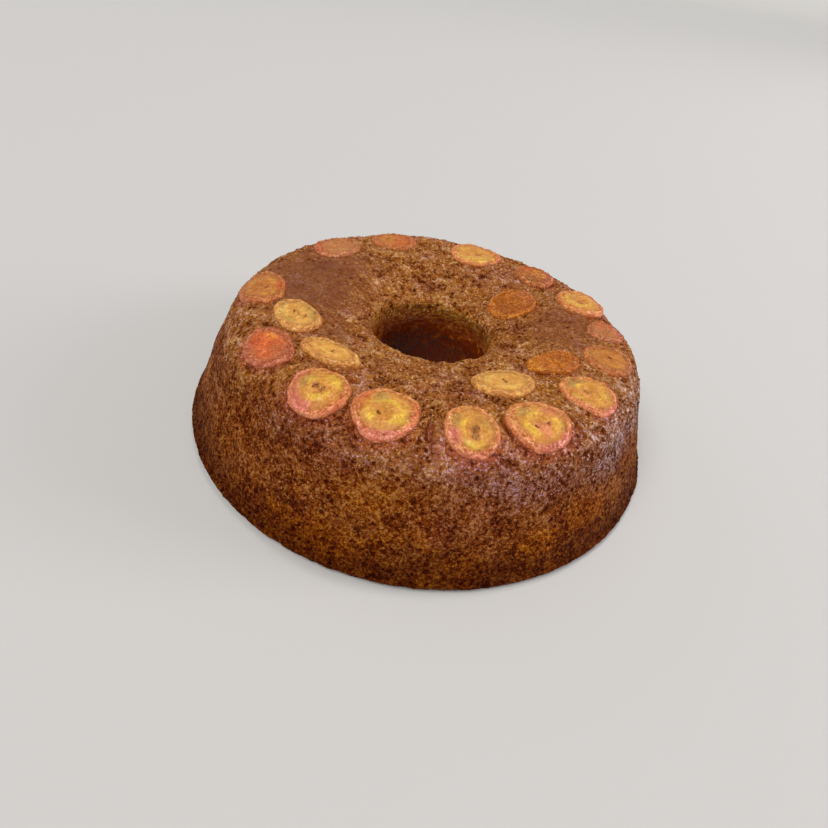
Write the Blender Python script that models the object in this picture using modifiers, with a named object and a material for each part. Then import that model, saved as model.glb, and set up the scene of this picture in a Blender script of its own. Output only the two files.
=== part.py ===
"""A banana ring cake turned out of its tin, with the slices that lined the tin showing in its crown.

Metres, +Z up. The origin is the centre of the footprint, on the surface that the cake stands on, and
-Y is the front. The ring is a turned body that settle() makes uneven. Each banana slice is a round
disc bent over the ring's surface, and it lies in a pocket of its own shape.
"""
import math
from collections import namedtuple

import bmesh
import bpy
from mathutils import Vector, noise

# The ring's turned profile
RING_RADIUS = 0.120
RING_HEIGHT = 0.060
CROWN_RADIUS = 0.0978  # where the sloping wall, carried on, meets the top
SHOULDER_ROUND = 0.0192
FOOT_ROUND = 0.0036
HOLE_RADIUS_TOP = 0.0295
HOLE_RADIUS_FOOT = 0.0260
LIP_ROUND = 0.0060
TURN_STEPS = 64
WELD_DISTANCE = 0.00001
TOP_SPANS = 5
SHOULDER_SPANS = 6
WALL_SPANS = 5
FOOT_SPANS = 2
HOLE_SPANS = 4
LIP_SPANS = 3

# How the baked ring departs from a true turned shape
OVAL_COS = 0.018
OVAL_SIN = 0.015
TOP_LEAN = (0.0036, -0.0042)
TOP_SLOPE = (-0.022, -0.016)
HOLE_LEAN = (-0.0021, -0.0068)
HOLE_LEAN_INNER = 0.036
HOLE_LEAN_OUTER = 0.080
LIP_SAG = 0.0030
BACK_SAG = 0.0040  # the lip sags this much more at the bearing below
BACK_SAG_BEARING = math.radians(95)
SAG_INNER = 0.032
SAG_OUTER = 0.064
SWELL_SIZE = 0.027
SWELL_HEIGHT = 0.0011
RIPPLE_SIZE = 0.012
RIPPLE_HEIGHT = 0.0005
FOOT_CALM = 0.008  # the unevenness fades out over this height above the base

# The banana slices
SLICE_SIDES = 16
SLICE_RINGS = 6
SLICE_SUNK = 0.0036
EDGE_SQUARENESS = 0.45
FACE_FLATNESS = 0.35
POCKET_GAP = 0.00042
POLE_LEVEL = 1e-6  # below this, a point lies on the ball's equator

# bearing in degrees from +X, distance of the middle from the ring's axis measured over the surface,
# width round the ring, depth in and out, turn in degrees, height above the crumb, finish
Slice = namedtuple("Slice", "bearing distance width depth turn rise finish")
SLICES = (
    Slice(184, 0.0862, 0.0310, 0.0245, 0, 0.0017, "orange"),
    Slice(202.5, 0.0683, 0.0300, 0.0235, -8, 0.0016, "golden"),
    Slice(218.5, 0.0882, 0.0275, 0.0230, 0, 0.0013, "red"),
    Slice(231, 0.0662, 0.0290, 0.0195, -20, 0.0017, "golden"),
    Slice(242, 0.0888, 0.0258, 0.0250, 0, 0.0016, "golden"),
    Slice(260, 0.0856, 0.0255, 0.0275, 0, 0.0017, "golden"),
    Slice(281.4, 0.0870, 0.0208, 0.0258, 0, 0.0015, "golden"),
    Slice(299.4, 0.0870, 0.0262, 0.0258, 0, 0.0015, "golden"),
    Slice(301.5, 0.0580, 0.0262, 0.0250, 0, 0.0018, "golden"),
    Slice(322, 0.0832, 0.0228, 0.0255, 0, 0.0015, "golden"),
    Slice(331.5, 0.0612, 0.0250, 0.0198, 25, 0.0020, "orange"),
    Slice(345, 0.0830, 0.0235, 0.0235, 0, 0.0014, "orange"),
    Slice(4, 0.0840, 0.0195, 0.0190, 0, 0.0009, "orange"),
    Slice(23.5, 0.0825, 0.0280, 0.0262, 0, 0.0024, "golden"),
    Slice(37, 0.0490, 0.0252, 0.0232, 0, 0.0017, "orange"),
    Slice(48.5, 0.0768, 0.0255, 0.0205, 15, 0.0020, "red"),
    Slice(77, 0.0757, 0.0295, 0.0255, 0, 0.0020, "golden"),
    Slice(112, 0.0810, 0.0265, 0.0210, 0, 0.0010, "orange"),
    Slice(138, 0.0800, 0.0278, 0.0220, 0, 0.0013, "orange"),
)
# waves round a slice's rim and their height, and how they are turned from slice to slice and wave to wave
OUTLINE_WAVES = ((2, 0.015), (3, 0.020), (5, 0.012))
SLICE_PHASE = 2.4
WAVE_PHASE = 1.7

FINISHES = {
    "crumb": ((0.190, 0.076, 0.028), 0.72),
    "golden": ((0.590, 0.300, 0.066), 0.38),
    "orange": ((0.520, 0.190, 0.052), 0.42),
    "red": ((0.460, 0.098, 0.036), 0.42),
}


def clear_scene():
    """Removes every object, so that the model starts from nothing."""
    for scene_object in list(bpy.data.objects):
        bpy.data.objects.remove(scene_object, do_unlink=True)


def make_collection(name):
    """A new collection under the scene's own."""
    collection = bpy.data.collections.new(name)
    bpy.context.scene.collection.children.link(collection)
    return collection


def make_material(name):
    """The finish of that name, with its colour and roughness."""
    colour, roughness = FINISHES[name]
    material = bpy.data.materials.new(name)
    material.use_nodes = True
    shader = material.node_tree.nodes["Principled BSDF"]
    shader.inputs["Base Color"].default_value = (*colour, 1.0)
    shader.inputs["Roughness"].default_value = roughness
    shader.inputs["Metallic"].default_value = 0.0
    return material


def smooth_between(low, high, value):
    """0 below low, 1 above high, and a smooth rise between them."""
    share = min(max((value - low) / (high - low), 0.0), 1.0)
    return share * share * (3.0 - 2.0 * share)


def wall_direction():
    """Direction down the outer wall, as radius and height."""
    return Vector((RING_RADIUS - CROWN_RADIUS, -RING_HEIGHT)).normalized()


def shoulder_turn():
    """The angle that the shoulder bends through, from the flat top to the wall."""
    return math.acos(wall_direction().x)


def shoulder_start():
    """Radius at which the flat top ends and the shoulder begins."""
    return CROWN_RADIUS - SHOULDER_ROUND * math.tan(shoulder_turn() / 2)


def outer_profile(distance):
    """Radius, height and outward normal at a distance from the axis measured over the surface."""
    start = shoulder_start()
    if distance <= start:
        return distance, RING_HEIGHT, Vector((0.0, 1.0))
    angle = min((distance - start) / SHOULDER_ROUND, shoulder_turn())
    normal = Vector((math.sin(angle), math.cos(angle)))
    radius = start + SHOULDER_ROUND * normal.x
    height = RING_HEIGHT - SHOULDER_ROUND + SHOULDER_ROUND * normal.y
    beyond = max(distance - start - SHOULDER_ROUND * shoulder_turn(), 0.0)
    return radius + wall_direction().x * beyond, height + wall_direction().y * beyond, normal


def arc_points(centre, radius, start, end, spans):
    """Points of an arc after its first, from start to end in radians."""
    angles = [start + (end - start) * step / spans for step in range(1, spans + 1)]
    return [(centre[0] + radius * math.cos(a), centre[1] + radius * math.sin(a)) for a in angles]


def line_points(start, end, spans):
    """Evenly spaced points after start, up to and with end."""
    shares = [step / spans for step in range(1, spans + 1)]
    return [(start[0] + (end[0] - start[0]) * s, start[1] + (end[1] - start[1]) * s) for s in shares]


def ring_profile():
    """The closed section: over the top, down the outer wall, in along the base and up the hole."""
    lip_centre = (HOLE_RADIUS_TOP + LIP_ROUND, RING_HEIGHT - LIP_ROUND)
    lip_top = (lip_centre[0], RING_HEIGHT)
    top_edge = (shoulder_start(), RING_HEIGHT)
    foot_centre = (RING_RADIUS - FOOT_ROUND, FOOT_ROUND)
    points = [lip_top] + line_points(lip_top, top_edge, TOP_SPANS)
    shoulder_centre = (top_edge[0], RING_HEIGHT - SHOULDER_ROUND)
    right_angle = math.pi / 2
    points += arc_points(shoulder_centre, SHOULDER_ROUND, right_angle, right_angle - shoulder_turn(),
                         SHOULDER_SPANS)
    points += line_points(points[-1], (RING_RADIUS, FOOT_ROUND), WALL_SPANS)
    points += arc_points(foot_centre, FOOT_ROUND, 0.0, -right_angle, FOOT_SPANS)
    points.append((HOLE_RADIUS_FOOT, 0.0))
    points += line_points(points[-1], (HOLE_RADIUS_TOP, lip_centre[1]), HOLE_SPANS)
    points += arc_points(lip_centre, LIP_ROUND, math.pi, right_angle, LIP_SPANS)[:-1]
    return points


def settle(point):
    """Moves a point of the true turned shape to where the baked ring has it."""
    x, y, z = point
    radius = math.hypot(x, y)
    bearing = math.atan2(y, x)
    lift = z / RING_HEIGHT
    oval = 1.0 - OVAL_COS * math.cos(2 * bearing) - OVAL_SIN * math.sin(2 * bearing)
    near_hole = 1.0 - smooth_between(HOLE_LEAN_INNER, HOLE_LEAN_OUTER, radius)
    above_foot = max(z - FOOT_ROUND, 0.0) / (RING_HEIGHT - FOOT_ROUND)
    new_x = x * oval + above_foot * (TOP_LEAN[0] + HOLE_LEAN[0] * near_hole)
    new_y = y * oval + above_foot * (TOP_LEAN[1] + HOLE_LEAN[1] * near_hole)
    new_z = z + lift * (TOP_SLOPE[0] * new_x + TOP_SLOPE[1] * new_y)
    sag = LIP_SAG + BACK_SAG * (0.5 + 0.5 * math.cos(bearing - BACK_SAG_BEARING))
    new_z -= lift * sag * (1.0 - smooth_between(SAG_INNER, SAG_OUTER, radius))
    settled = Vector((new_x, new_y, new_z))
    calm = smooth_between(0.0, FOOT_CALM, z)
    swell = SWELL_HEIGHT * noise.noise(point / SWELL_SIZE)
    ripple = RIPPLE_HEIGHT * noise.noise(point / RIPPLE_SIZE)
    outward = Vector((x, y, (z - RING_HEIGHT / 2))).normalized()
    return settled + outward * (swell + ripple) * calm


def deformed(bm, name, collection, rule):
    """Moves every vertex by a rule and makes the mesh an object of its own."""
    for vertex in bm.verts:
        vertex.co = rule(vertex.co)
    bm.normal_update()
    mesh = bpy.data.meshes.new(name)
    bm.to_mesh(mesh)
    bm.free()
    mesh.shade_smooth()
    made = bpy.data.objects.new(name, mesh)
    collection.objects.link(made)
    return made


def make_turned_ring(collection):
    """The ring before it settles: its profile and a Screw modifier, made a plain mesh."""
    profile = ring_profile()
    mesh = bpy.data.meshes.new("ring_profile")
    edges = [(i, (i + 1) % len(profile)) for i in range(len(profile))]
    mesh.from_pydata([(radius, 0.0, height) for radius, height in profile], edges, [])
    guide = bpy.data.objects.new("ring_profile", mesh)
    collection.objects.link(guide)
    screw = guide.modifiers.new("turn", "SCREW")
    screw.axis = "Z"
    screw.steps = TURN_STEPS
    screw.render_steps = TURN_STEPS
    screw.use_merge_vertices = True
    screw.merge_threshold = WELD_DISTANCE
    evaluated = guide.evaluated_get(bpy.context.evaluated_depsgraph_get())
    turned = bpy.data.meshes.new_from_object(evaluated)
    bpy.data.objects.remove(guide, do_unlink=True)
    return turned


def make_ring(collection):
    """The settled ring, before its pockets are cut."""
    turned = make_turned_ring(collection)
    bm = bmesh.new()
    bm.from_mesh(turned)
    bpy.data.meshes.remove(turned)
    bmesh.ops.triangulate(bm, faces=bm.faces)
    ring = deformed(bm, "cake_ring", collection, settle)
    ring.data.materials.append(make_material("crumb"))
    return ring


def outline_factor(number, angle):
    """How far the rim of one slice lies out at an angle, against a true round."""
    factor = 1.0
    for order, (waves, height) in enumerate(OUTLINE_WAVES):
        factor += height * math.sin(waves * angle + SLICE_PHASE * number + WAVE_PHASE * order)
    return factor


def slice_rule(number, banana, grow):
    """Takes a point of a unit ball to its place in one banana slice, grown by a gap all round."""
    turn = math.radians(banana.turn)
    low = -SLICE_SUNK - grow
    high = banana.rise + grow

    def place(point):
        across = math.hypot(point.x, point.y)
        angle = math.atan2(point.x, point.y)
        reach = across ** EDGE_SQUARENESS * outline_factor(number, angle)
        wide = (banana.width / 2 + grow) * reach * math.cos(angle)
        deep = (banana.depth / 2 + grow) * reach * math.sin(angle)
        round_way = wide * math.cos(turn) - deep * math.sin(turn)
        out_way = wide * math.sin(turn) + deep * math.cos(turn)
        on_equator = abs(point.z) < POLE_LEVEL
        level = 0.0 if on_equator else math.copysign(abs(point.z) ** FACE_FLATNESS, point.z)
        height = (high + low) / 2 + level * (high - low) / 2
        distance = math.hypot(banana.distance + out_way, round_way)
        bearing = math.radians(banana.bearing) + math.atan2(round_way, banana.distance + out_way)
        radius, level_z, normal = outer_profile(distance)
        radius += normal.x * height
        return settle(Vector((radius * math.cos(bearing), radius * math.sin(bearing),
                              level_z + normal.y * height)))

    return place


def make_slice(number, banana, name, collection, grow=0.0):
    """One banana slice, or its pocket's cutter where it grows by a gap."""
    bm = bmesh.new()
    bmesh.ops.create_uvsphere(bm, u_segments=SLICE_SIDES, v_segments=SLICE_RINGS, radius=1.0)
    bmesh.ops.triangulate(bm, faces=bm.faces)
    return deformed(bm, name, collection, slice_rule(number, banana, grow))


def cut_pockets(ring, pockets):
    """Takes the pockets out of the ring."""
    cut = ring.modifiers.new("pockets", "BOOLEAN")
    cut.operation = "DIFFERENCE"
    cut.operand_type = "COLLECTION"
    cut.collection = pockets
    cut.solver = "EXACT"


def main():
    """Builds the ring and its slices."""
    clear_scene()
    cake = make_collection("banana_ring_cake")
    pockets = make_collection("pocket_cutters")
    ring = make_ring(cake)
    materials = {finish: make_material(finish) for finish in ("golden", "orange", "red")}
    for number, banana in enumerate(SLICES, start=1):
        piece = make_slice(number, banana, f"banana_slice_{number:02d}", cake)
        piece.data.materials.append(materials[banana.finish])
        pocket = make_slice(number, banana, f"pocket_{number:02d}", pockets, POCKET_GAP)
        pocket.hide_render = True
        pocket.display_type = "WIRE"
    cut_pockets(ring, pockets)


main()
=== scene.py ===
"""The looks of a banana ring cake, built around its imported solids.

Metres, +Z up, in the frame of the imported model: the origin is the centre of the footprint and -Y is the
front. The crumb repeats the turned and settled form of the solids with its pores, lumps and pits as real
relief, and each banana slice repeats the outline of its own solid.
"""
from __future__ import annotations

import logging
import math
from collections.abc import Sequence
from dataclasses import dataclass, field
from enum import Enum

import bpy
import numpy as np
from mathutils import Matrix, Vector, noise

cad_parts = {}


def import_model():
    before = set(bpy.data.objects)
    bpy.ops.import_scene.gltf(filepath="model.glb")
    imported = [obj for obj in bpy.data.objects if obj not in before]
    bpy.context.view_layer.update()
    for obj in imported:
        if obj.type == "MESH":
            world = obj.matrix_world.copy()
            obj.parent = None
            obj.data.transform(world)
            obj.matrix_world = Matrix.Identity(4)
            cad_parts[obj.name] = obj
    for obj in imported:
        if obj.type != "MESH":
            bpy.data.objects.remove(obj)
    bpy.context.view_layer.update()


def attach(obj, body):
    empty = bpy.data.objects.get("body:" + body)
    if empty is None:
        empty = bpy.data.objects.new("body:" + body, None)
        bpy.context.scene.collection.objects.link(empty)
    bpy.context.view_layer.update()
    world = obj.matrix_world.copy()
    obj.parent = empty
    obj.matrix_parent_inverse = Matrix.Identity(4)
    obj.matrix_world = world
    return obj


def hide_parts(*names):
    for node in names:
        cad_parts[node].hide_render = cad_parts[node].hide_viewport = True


LOG = logging.getLogger("banana_ring_cake")
BODY = "root"
RING_NODE = "cake_ring"
RIGHT_ANGLE = math.pi / 2
FULL_TURN = 2 * math.pi
MM = 0.001
BAKE_MAP = "OFBake"

Pair = tuple[float, float]
Triple = tuple[float, float, float]
Colour = Triple
Socket = bpy.types.NodeSocket
Feed = object  # a socket to link, or a plain value to set
Inputs = dict[str | int, Feed]  # what feeds a node's sockets, by their name or number


def rise(low: float, high: float, value: np.ndarray) -> np.ndarray:
    """Runs smoothly from 0 at low to 1 at high.

    Args:
        low: where the share is still 0. With low above high, the share falls as the value grows.
        high: where the share reaches 1.
        value: what is measured.

    Returns:
        The share at each value.
    """
    share = np.clip((value - low) / (high - low), 0.0, 1.0)
    return share * share * (3.0 - 2.0 * share)


def noise_at(points: np.ndarray, size: float, shift: float = 0.0) -> np.ndarray:
    """Smooth noise, about -1 to 1, of one size at each point.

    Args:
        points: one row for each point.
        size: the size of the noise's swells in metres.
        shift: moves the noise, so that two uses differ.

    Returns:
        One number for each point.
    """
    return np.array([noise.noise(place) for place in (points / size + shift).tolist()])


def round_steps(count: int) -> np.ndarray:
    """Angles at even steps of a full turn."""
    return np.arange(count) * FULL_TURN / count


def around(radius: float | np.ndarray, angle: np.ndarray, level: float | np.ndarray) -> np.ndarray:
    """Points at a radius, an angle and a level, one row for each."""
    return np.stack(np.broadcast_arrays(radius * np.cos(angle), radius * np.sin(angle), level), 1)


def band(low: int, high: int, count: int) -> list[list[int]]:
    """The faces between two closed rings of vertices.

    Args:
        low: the first vertex of one ring.
        high: the first vertex of the next.
        count: how many vertices each ring has.

    Returns:
        The vertices of each face.
    """
    here = np.arange(count)
    after = (here + 1) % count
    return np.stack([low + here, high + here, high + after, low + after], 1).tolist()


def new_mesh(
    name: str, points: np.ndarray, faces: Sequence[Sequence[int]], material: bpy.types.Material | None = None
) -> bpy.types.Mesh:
    """A smooth mesh.

    Args:
        name: its name.
        points: its vertices, one row for each.
        faces: the vertices of each face.
        material: its material, if it has one.

    Returns:
        The mesh.
    """
    mesh = bpy.data.meshes.new(name)
    mesh.from_pydata(points.tolist(), [], faces)
    if material is not None:
        mesh.materials.append(material)
    mesh.shade_smooth()
    return mesh


def add_attributes(mesh: bpy.types.Mesh, fields: dict[str, np.ndarray]) -> None:
    """Stores numbers or vectors on the vertices.

    Args:
        mesh: the mesh that holds them.
        fields: by name, one number or one row of three for each vertex.
    """
    for name, values in fields.items():
        kind, key = ("FLOAT", "value") if values.ndim == 1 else ("FLOAT_VECTOR", "vector")
        stored = mesh.attributes.new(name, kind, "POINT")
        stored.data.foreach_set(key, values.astype(np.float32).ravel())


def add_bake_map(mesh: bpy.types.Mesh, places: np.ndarray) -> None:
    """Gives a mesh its bake map, from one row for each corner."""
    layer = mesh.uv_layers.new(name=BAKE_MAP)
    layer.uv.foreach_set("vector", places.astype(np.float32).ravel())


@dataclass(frozen=True)
class RingForm:
    """The turned section of the ring and how the baked cake departs from it, as in the solids."""

    radius: float = 0.120
    height: float = 0.060
    crown_radius: float = 0.0978
    shoulder_round: float = 0.0192
    foot_round: float = 0.0036
    hole_radius_top: float = 0.0295
    hole_radius_foot: float = 0.0260
    lip_round: float = 0.0060
    oval_cos: float = 0.018
    oval_sin: float = 0.015
    top_lean: Pair = (0.0036, -0.0042)
    top_slope: Pair = (-0.022, -0.016)
    hole_lean: Pair = (-0.0021, -0.0068)
    hole_lean_reach: Pair = (0.036, 0.080)
    lip_sag: float = 0.0030
    back_sag: float = 0.0040
    back_sag_bearing: float = math.radians(95)
    sag_reach: Pair = (0.032, 0.064)
    swell: Pair = (0.027, 0.0011)
    ripple: Pair = (0.012, 0.0005)
    foot_calm: float = 0.008

    @property
    def wall_direction(self) -> Vector:
        """Direction down the outer wall, as radius and height."""
        return Vector((self.radius - self.crown_radius, -self.height)).normalized()

    @property
    def shoulder_turn(self) -> float:
        """The angle that the shoulder bends through."""
        return math.acos(self.wall_direction.x)

    @property
    def shoulder_start(self) -> float:
        """Distance over the surface at which the flat top ends."""
        return self.crown_radius - self.shoulder_round * math.tan(self.shoulder_turn / 2)

    @property
    def wall_start(self) -> float:
        """Distance over the surface at which the straight wall begins."""
        return self.shoulder_start + self.shoulder_round * self.shoulder_turn

    @property
    def wall_end(self) -> float:
        """Distance over the surface at which the foot's round begins."""
        shoulder_foot = self.height - self.shoulder_round * (1 - math.cos(self.shoulder_turn))
        return self.wall_start + (shoulder_foot - self.foot_round) / -self.wall_direction.y

    @property
    def foot_end(self) -> float:
        """Distance over the surface at which the base begins."""
        return self.wall_end + self.foot_round * RIGHT_ANGLE

    @property
    def lip_top(self) -> float:
        """Radius, and distance over the surface, at which the lip of the hole meets the flat top."""
        return self.hole_radius_top + self.lip_round

    @property
    def hole_foot(self) -> float:
        """The distance over the surface, below zero, at which the hole meets the base."""
        wall = math.hypot(self.hole_radius_top - self.hole_radius_foot, self.height - self.lip_round)
        return self.lip_top - self.lip_round * RIGHT_ANGLE - wall

    def section(self, way: np.ndarray) -> tuple[np.ndarray, np.ndarray, np.ndarray, np.ndarray]:
        """The turned section, from the foot of the hole over the top to the base.

        Args:
            way: distances over the surface. The top's flat has its radius as distance.

        Returns:
            Radius and height of each, and the outward normal's part along each.
        """
        turn = np.clip((self.lip_top - way) / self.lip_round, 0.0, RIGHT_ANGLE)
        down = np.maximum(self.lip_top - way - self.lip_round * RIGHT_ANGLE, 0.0)
        narrowing = self.hole_radius_top - self.hole_radius_foot
        wall = Vector((narrowing, self.height - self.lip_round)).normalized()
        hole = (
            self.lip_top - self.lip_round * np.sin(turn) - wall.x * down,
            self.height - self.lip_round + self.lip_round * np.cos(turn) - wall.y * down,
            -np.sin(turn),
            np.cos(turn),
        )
        start = self.shoulder_start
        angle = np.clip((way - start) / self.shoulder_round, 0.0, self.shoulder_turn)
        beyond = np.clip(way - self.wall_start, 0.0, self.wall_end - self.wall_start)
        outer = (
            np.minimum(way, start) + self.shoulder_round * np.sin(angle) + self.wall_direction.x * beyond,
            self.height - self.shoulder_round * (1 - np.cos(angle)) + self.wall_direction.y * beyond,
            np.sin(angle),
            np.cos(angle),
        )
        foot_turn = np.clip((way - self.wall_end) / self.foot_round, 0.0, RIGHT_ANGLE)
        along = np.maximum(way - self.foot_end, 0.0)
        foot = (
            self.radius - self.foot_round * (1 - np.cos(foot_turn)) - along,
            self.foot_round * (1 - np.sin(foot_turn)),
            np.cos(foot_turn),
            -np.sin(foot_turn),
        )
        return tuple(
            np.where(way < self.lip_top, h, np.where(way < self.wall_end, o, f))
            for h, o, f in zip(hole, outer, foot)
        )

    def settled(self, points: np.ndarray) -> np.ndarray:
        """Moves points of the true turned shape to where the baked ring has them."""
        x, y, z = points.T
        radius, bearing, lift = np.hypot(x, y), np.arctan2(y, x), z / self.height
        oval = 1.0 - self.oval_cos * np.cos(2 * bearing) - self.oval_sin * np.sin(2 * bearing)
        near_hole = 1.0 - rise(*self.hole_lean_reach, radius)
        above_foot = np.maximum(z - self.foot_round, 0.0) / (self.height - self.foot_round)
        new_x = x * oval + above_foot * (self.top_lean[0] + self.hole_lean[0] * near_hole)
        new_y = y * oval + above_foot * (self.top_lean[1] + self.hole_lean[1] * near_hole)
        new_z = z + lift * (self.top_slope[0] * new_x + self.top_slope[1] * new_y)
        sag = self.lip_sag + self.back_sag * (0.5 + 0.5 * np.cos(bearing - self.back_sag_bearing))
        new_z -= lift * sag * (1.0 - rise(*self.sag_reach, radius))
        outward = np.stack([x, y, z - self.height / 2], 1)
        outward /= np.linalg.norm(outward, axis=1)[:, None]
        uneven = sum(tall * noise_at(points, size) for size, tall in (self.swell, self.ripple))
        uneven *= rise(0.0, self.foot_calm, z)
        return np.stack([new_x, new_y, new_z], 1) + outward * uneven[:, None]

    def placed(self, bearing: np.ndarray, way: np.ndarray, height: np.ndarray) -> np.ndarray:
        """Points above the baked surface.

        Args:
            bearing: bearings from +X in radians.
            way: distances over the surface.
            height: heights above it.

        Returns:
            One row for each point.
        """
        radius, level, out, up = self.section(way)
        radius = radius + out * height
        return self.settled(around(radius, bearing, level + up * height))


class Graph:
    """Adds nodes to one tree and links them as it goes."""

    def __init__(self, tree: bpy.types.NodeTree) -> None:
        """Keeps the tree."""
        self.tree = tree

    def feed(self, node: bpy.types.Node, inputs: Inputs) -> None:
        """Links or sets a node's sockets, by their name or number."""
        for key, value in inputs.items():
            if isinstance(value, bpy.types.NodeSocket):
                self.tree.links.new(value, node.inputs[key])
            else:
                node.inputs[key].default_value = value

    def add(self, kind: str, inputs: Inputs | None = None, **settings: object) -> bpy.types.Node:
        """Adds a node.

        Args:
            kind: the node's type.
            inputs: what feeds its sockets, by their name or number.
            settings: the node's own properties.

        Returns:
            The node.
        """
        node = self.tree.nodes.new(kind)
        for name, value in settings.items():
            setattr(node, name, value)
        self.feed(node, inputs or {})
        return node

    def math(self, operation: str, *values: Feed) -> Socket:
        """The result of a Math node."""
        return self.add("ShaderNodeMath", dict(enumerate(values)), operation=operation).outputs[0]

    def chain(self, operation: str, first: Feed, *others: Feed) -> Socket:
        """One Math operation, carried on through all values."""
        for other in others:
            first = self.math(operation, first, other)
        return first

    def total(self, *values: Feed) -> Socket:
        """The sum of all values."""
        return self.chain("ADD", *values)

    def times(self, *values: Feed) -> Socket:
        """The product of all values."""
        return self.chain("MULTIPLY", *values)

    def most(self, *values: Feed) -> Socket:
        """The largest of all values."""
        return self.chain("MAXIMUM", *values)

    def vector(self, operation: str, first: Feed, second: Feed) -> Socket:
        """The result of a Vector Math node. The second value of SCALE is a number."""
        inputs = {0: first, "Scale" if operation == "SCALE" else 1: second}
        return self.add("ShaderNodeVectorMath", inputs, operation=operation).outputs[0]

    def ramp(self, value: Feed, low: Feed, high: Feed) -> Socket:
        """Runs smoothly from 0 at low to 1 at high."""
        node = self.add("ShaderNodeMapRange", {0: value, 1: low, 2: high}, interpolation_type="SMOOTHSTEP")
        return node.outputs[0]

    def spread(self, value: Feed, low: float, high: float, new_low: Feed, new_high: Feed) -> Socket:
        """Maps a range of values to another in a straight line."""
        inputs = {0: value, 1: low, 2: high, 3: new_low, 4: new_high}
        return self.add("ShaderNodeMapRange", inputs).outputs[0]

    def share(self, value: Feed, at_none: Feed, at_full: Feed) -> Socket:
        """Maps a share, from 0 to 1, to another range in a straight line."""
        return self.spread(value, 0.0, 1.0, at_none, at_full)

    def mix(self, factor: Feed, first: Feed, second: Feed, blend: str = "MIX") -> Socket:
        """Mixes two colours."""
        inputs = {0: factor, 6: rgba(first), 7: rgba(second)}
        return self.add("ShaderNodeMix", inputs, data_type="RGBA", blend_type=blend).outputs[2]

    def tint(self, colour: Feed, by: Feed, factor: Feed = 1.0) -> Socket:
        """Multiplies a colour by another."""
        return self.mix(factor, colour, by, "MULTIPLY")

    def noise_node(self, place: Feed, size: float, detail: float, roughness: float = 0.5) -> bpy.types.Node:
        """A noise texture whose swells are about one size in metres."""
        inputs = {"Vector": place, "Scale": 1.0 / size, "Detail": detail, "Roughness": roughness}
        return self.add("ShaderNodeTexNoise", inputs)

    def noise(self, place: Feed, size: float, detail: float = 2.0, roughness: float = 0.5) -> Socket:
        """Noise from 0 to 1 whose swells are about one size in metres."""
        return self.noise_node(place, size, detail, roughness).outputs[0]

    def swell(self, place: Feed, size: float, detail: float = 2.0, reach: float = 1.0) -> Socket:
        """Noise to either side of 0, of about one size in metres."""
        return self.spread(self.noise(place, size, detail), 0.30, 0.70, -reach, reach)

    def swirl(self, place: Feed, size: float, reach: float) -> Socket:
        """A push in all directions that changes over about one size in metres."""
        push = self.vector("SUBTRACT", self.noise_node(place, size, 1.0).outputs[1], (0.5, 0.5, 0.5))
        return self.vector("SCALE", push, reach)

    def warped(self, place: Feed, size: float, reach: float) -> Socket:
        """Coordinates pushed about by noise, so that cells lose their regular look."""
        return self.vector("ADD", place, self.swirl(place, size, reach))

    def cells(self, place: Feed, size: float) -> tuple[Socket, Socket]:
        """Cells of about one size in metres: the distance from the middle of each, and its own number."""
        node = self.add("ShaderNodeTexVoronoi", {"Vector": place, "Scale": 1.0 / size})
        return node.outputs[0], node.outputs[1]

    def attribute(self, name: str, vector: bool = False) -> Socket:
        """A stored attribute, in a material."""
        return self.add("ShaderNodeAttribute", attribute_name=name).outputs[1 if vector else 2]

    def object_place(self) -> Socket:
        """The place on the object, in a material."""
        return self.add("ShaderNodeTexCoord").outputs["Object"]


class Recipe(Graph):
    """A node group with named inputs."""

    SOCKETS = {
        float: "NodeSocketFloat",
        int: "NodeSocketInt",
        tuple: "NodeSocketVector",
        "colour": "NodeSocketColor",
        "geometry": "NodeSocketGeometry",
        "material": "NodeSocketMaterial",
    }

    def __init__(self, name: str, kind: str, inputs: dict[str, object], outputs: dict[str, object]) -> None:
        """Makes the group and its sockets.

        Args:
            name: the group's name.
            kind: the type of tree.
            inputs: each input's kind by its name.
            outputs: each output's kind by its name.
        """
        super().__init__(bpy.data.node_groups.new(name, kind))
        self.identifiers = {}
        for in_out, sockets in (("INPUT", inputs), ("OUTPUT", outputs)):
            for label, socket_kind in sockets.items():
                made = self.tree.interface.new_socket(
                    name=label, in_out=in_out, socket_type=self.SOCKETS[socket_kind]
                )
                self.identifiers[label, in_out] = made.identifier
        self.given = self.add("NodeGroupInput").outputs
        self.result = self.add("NodeGroupOutput")


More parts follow.
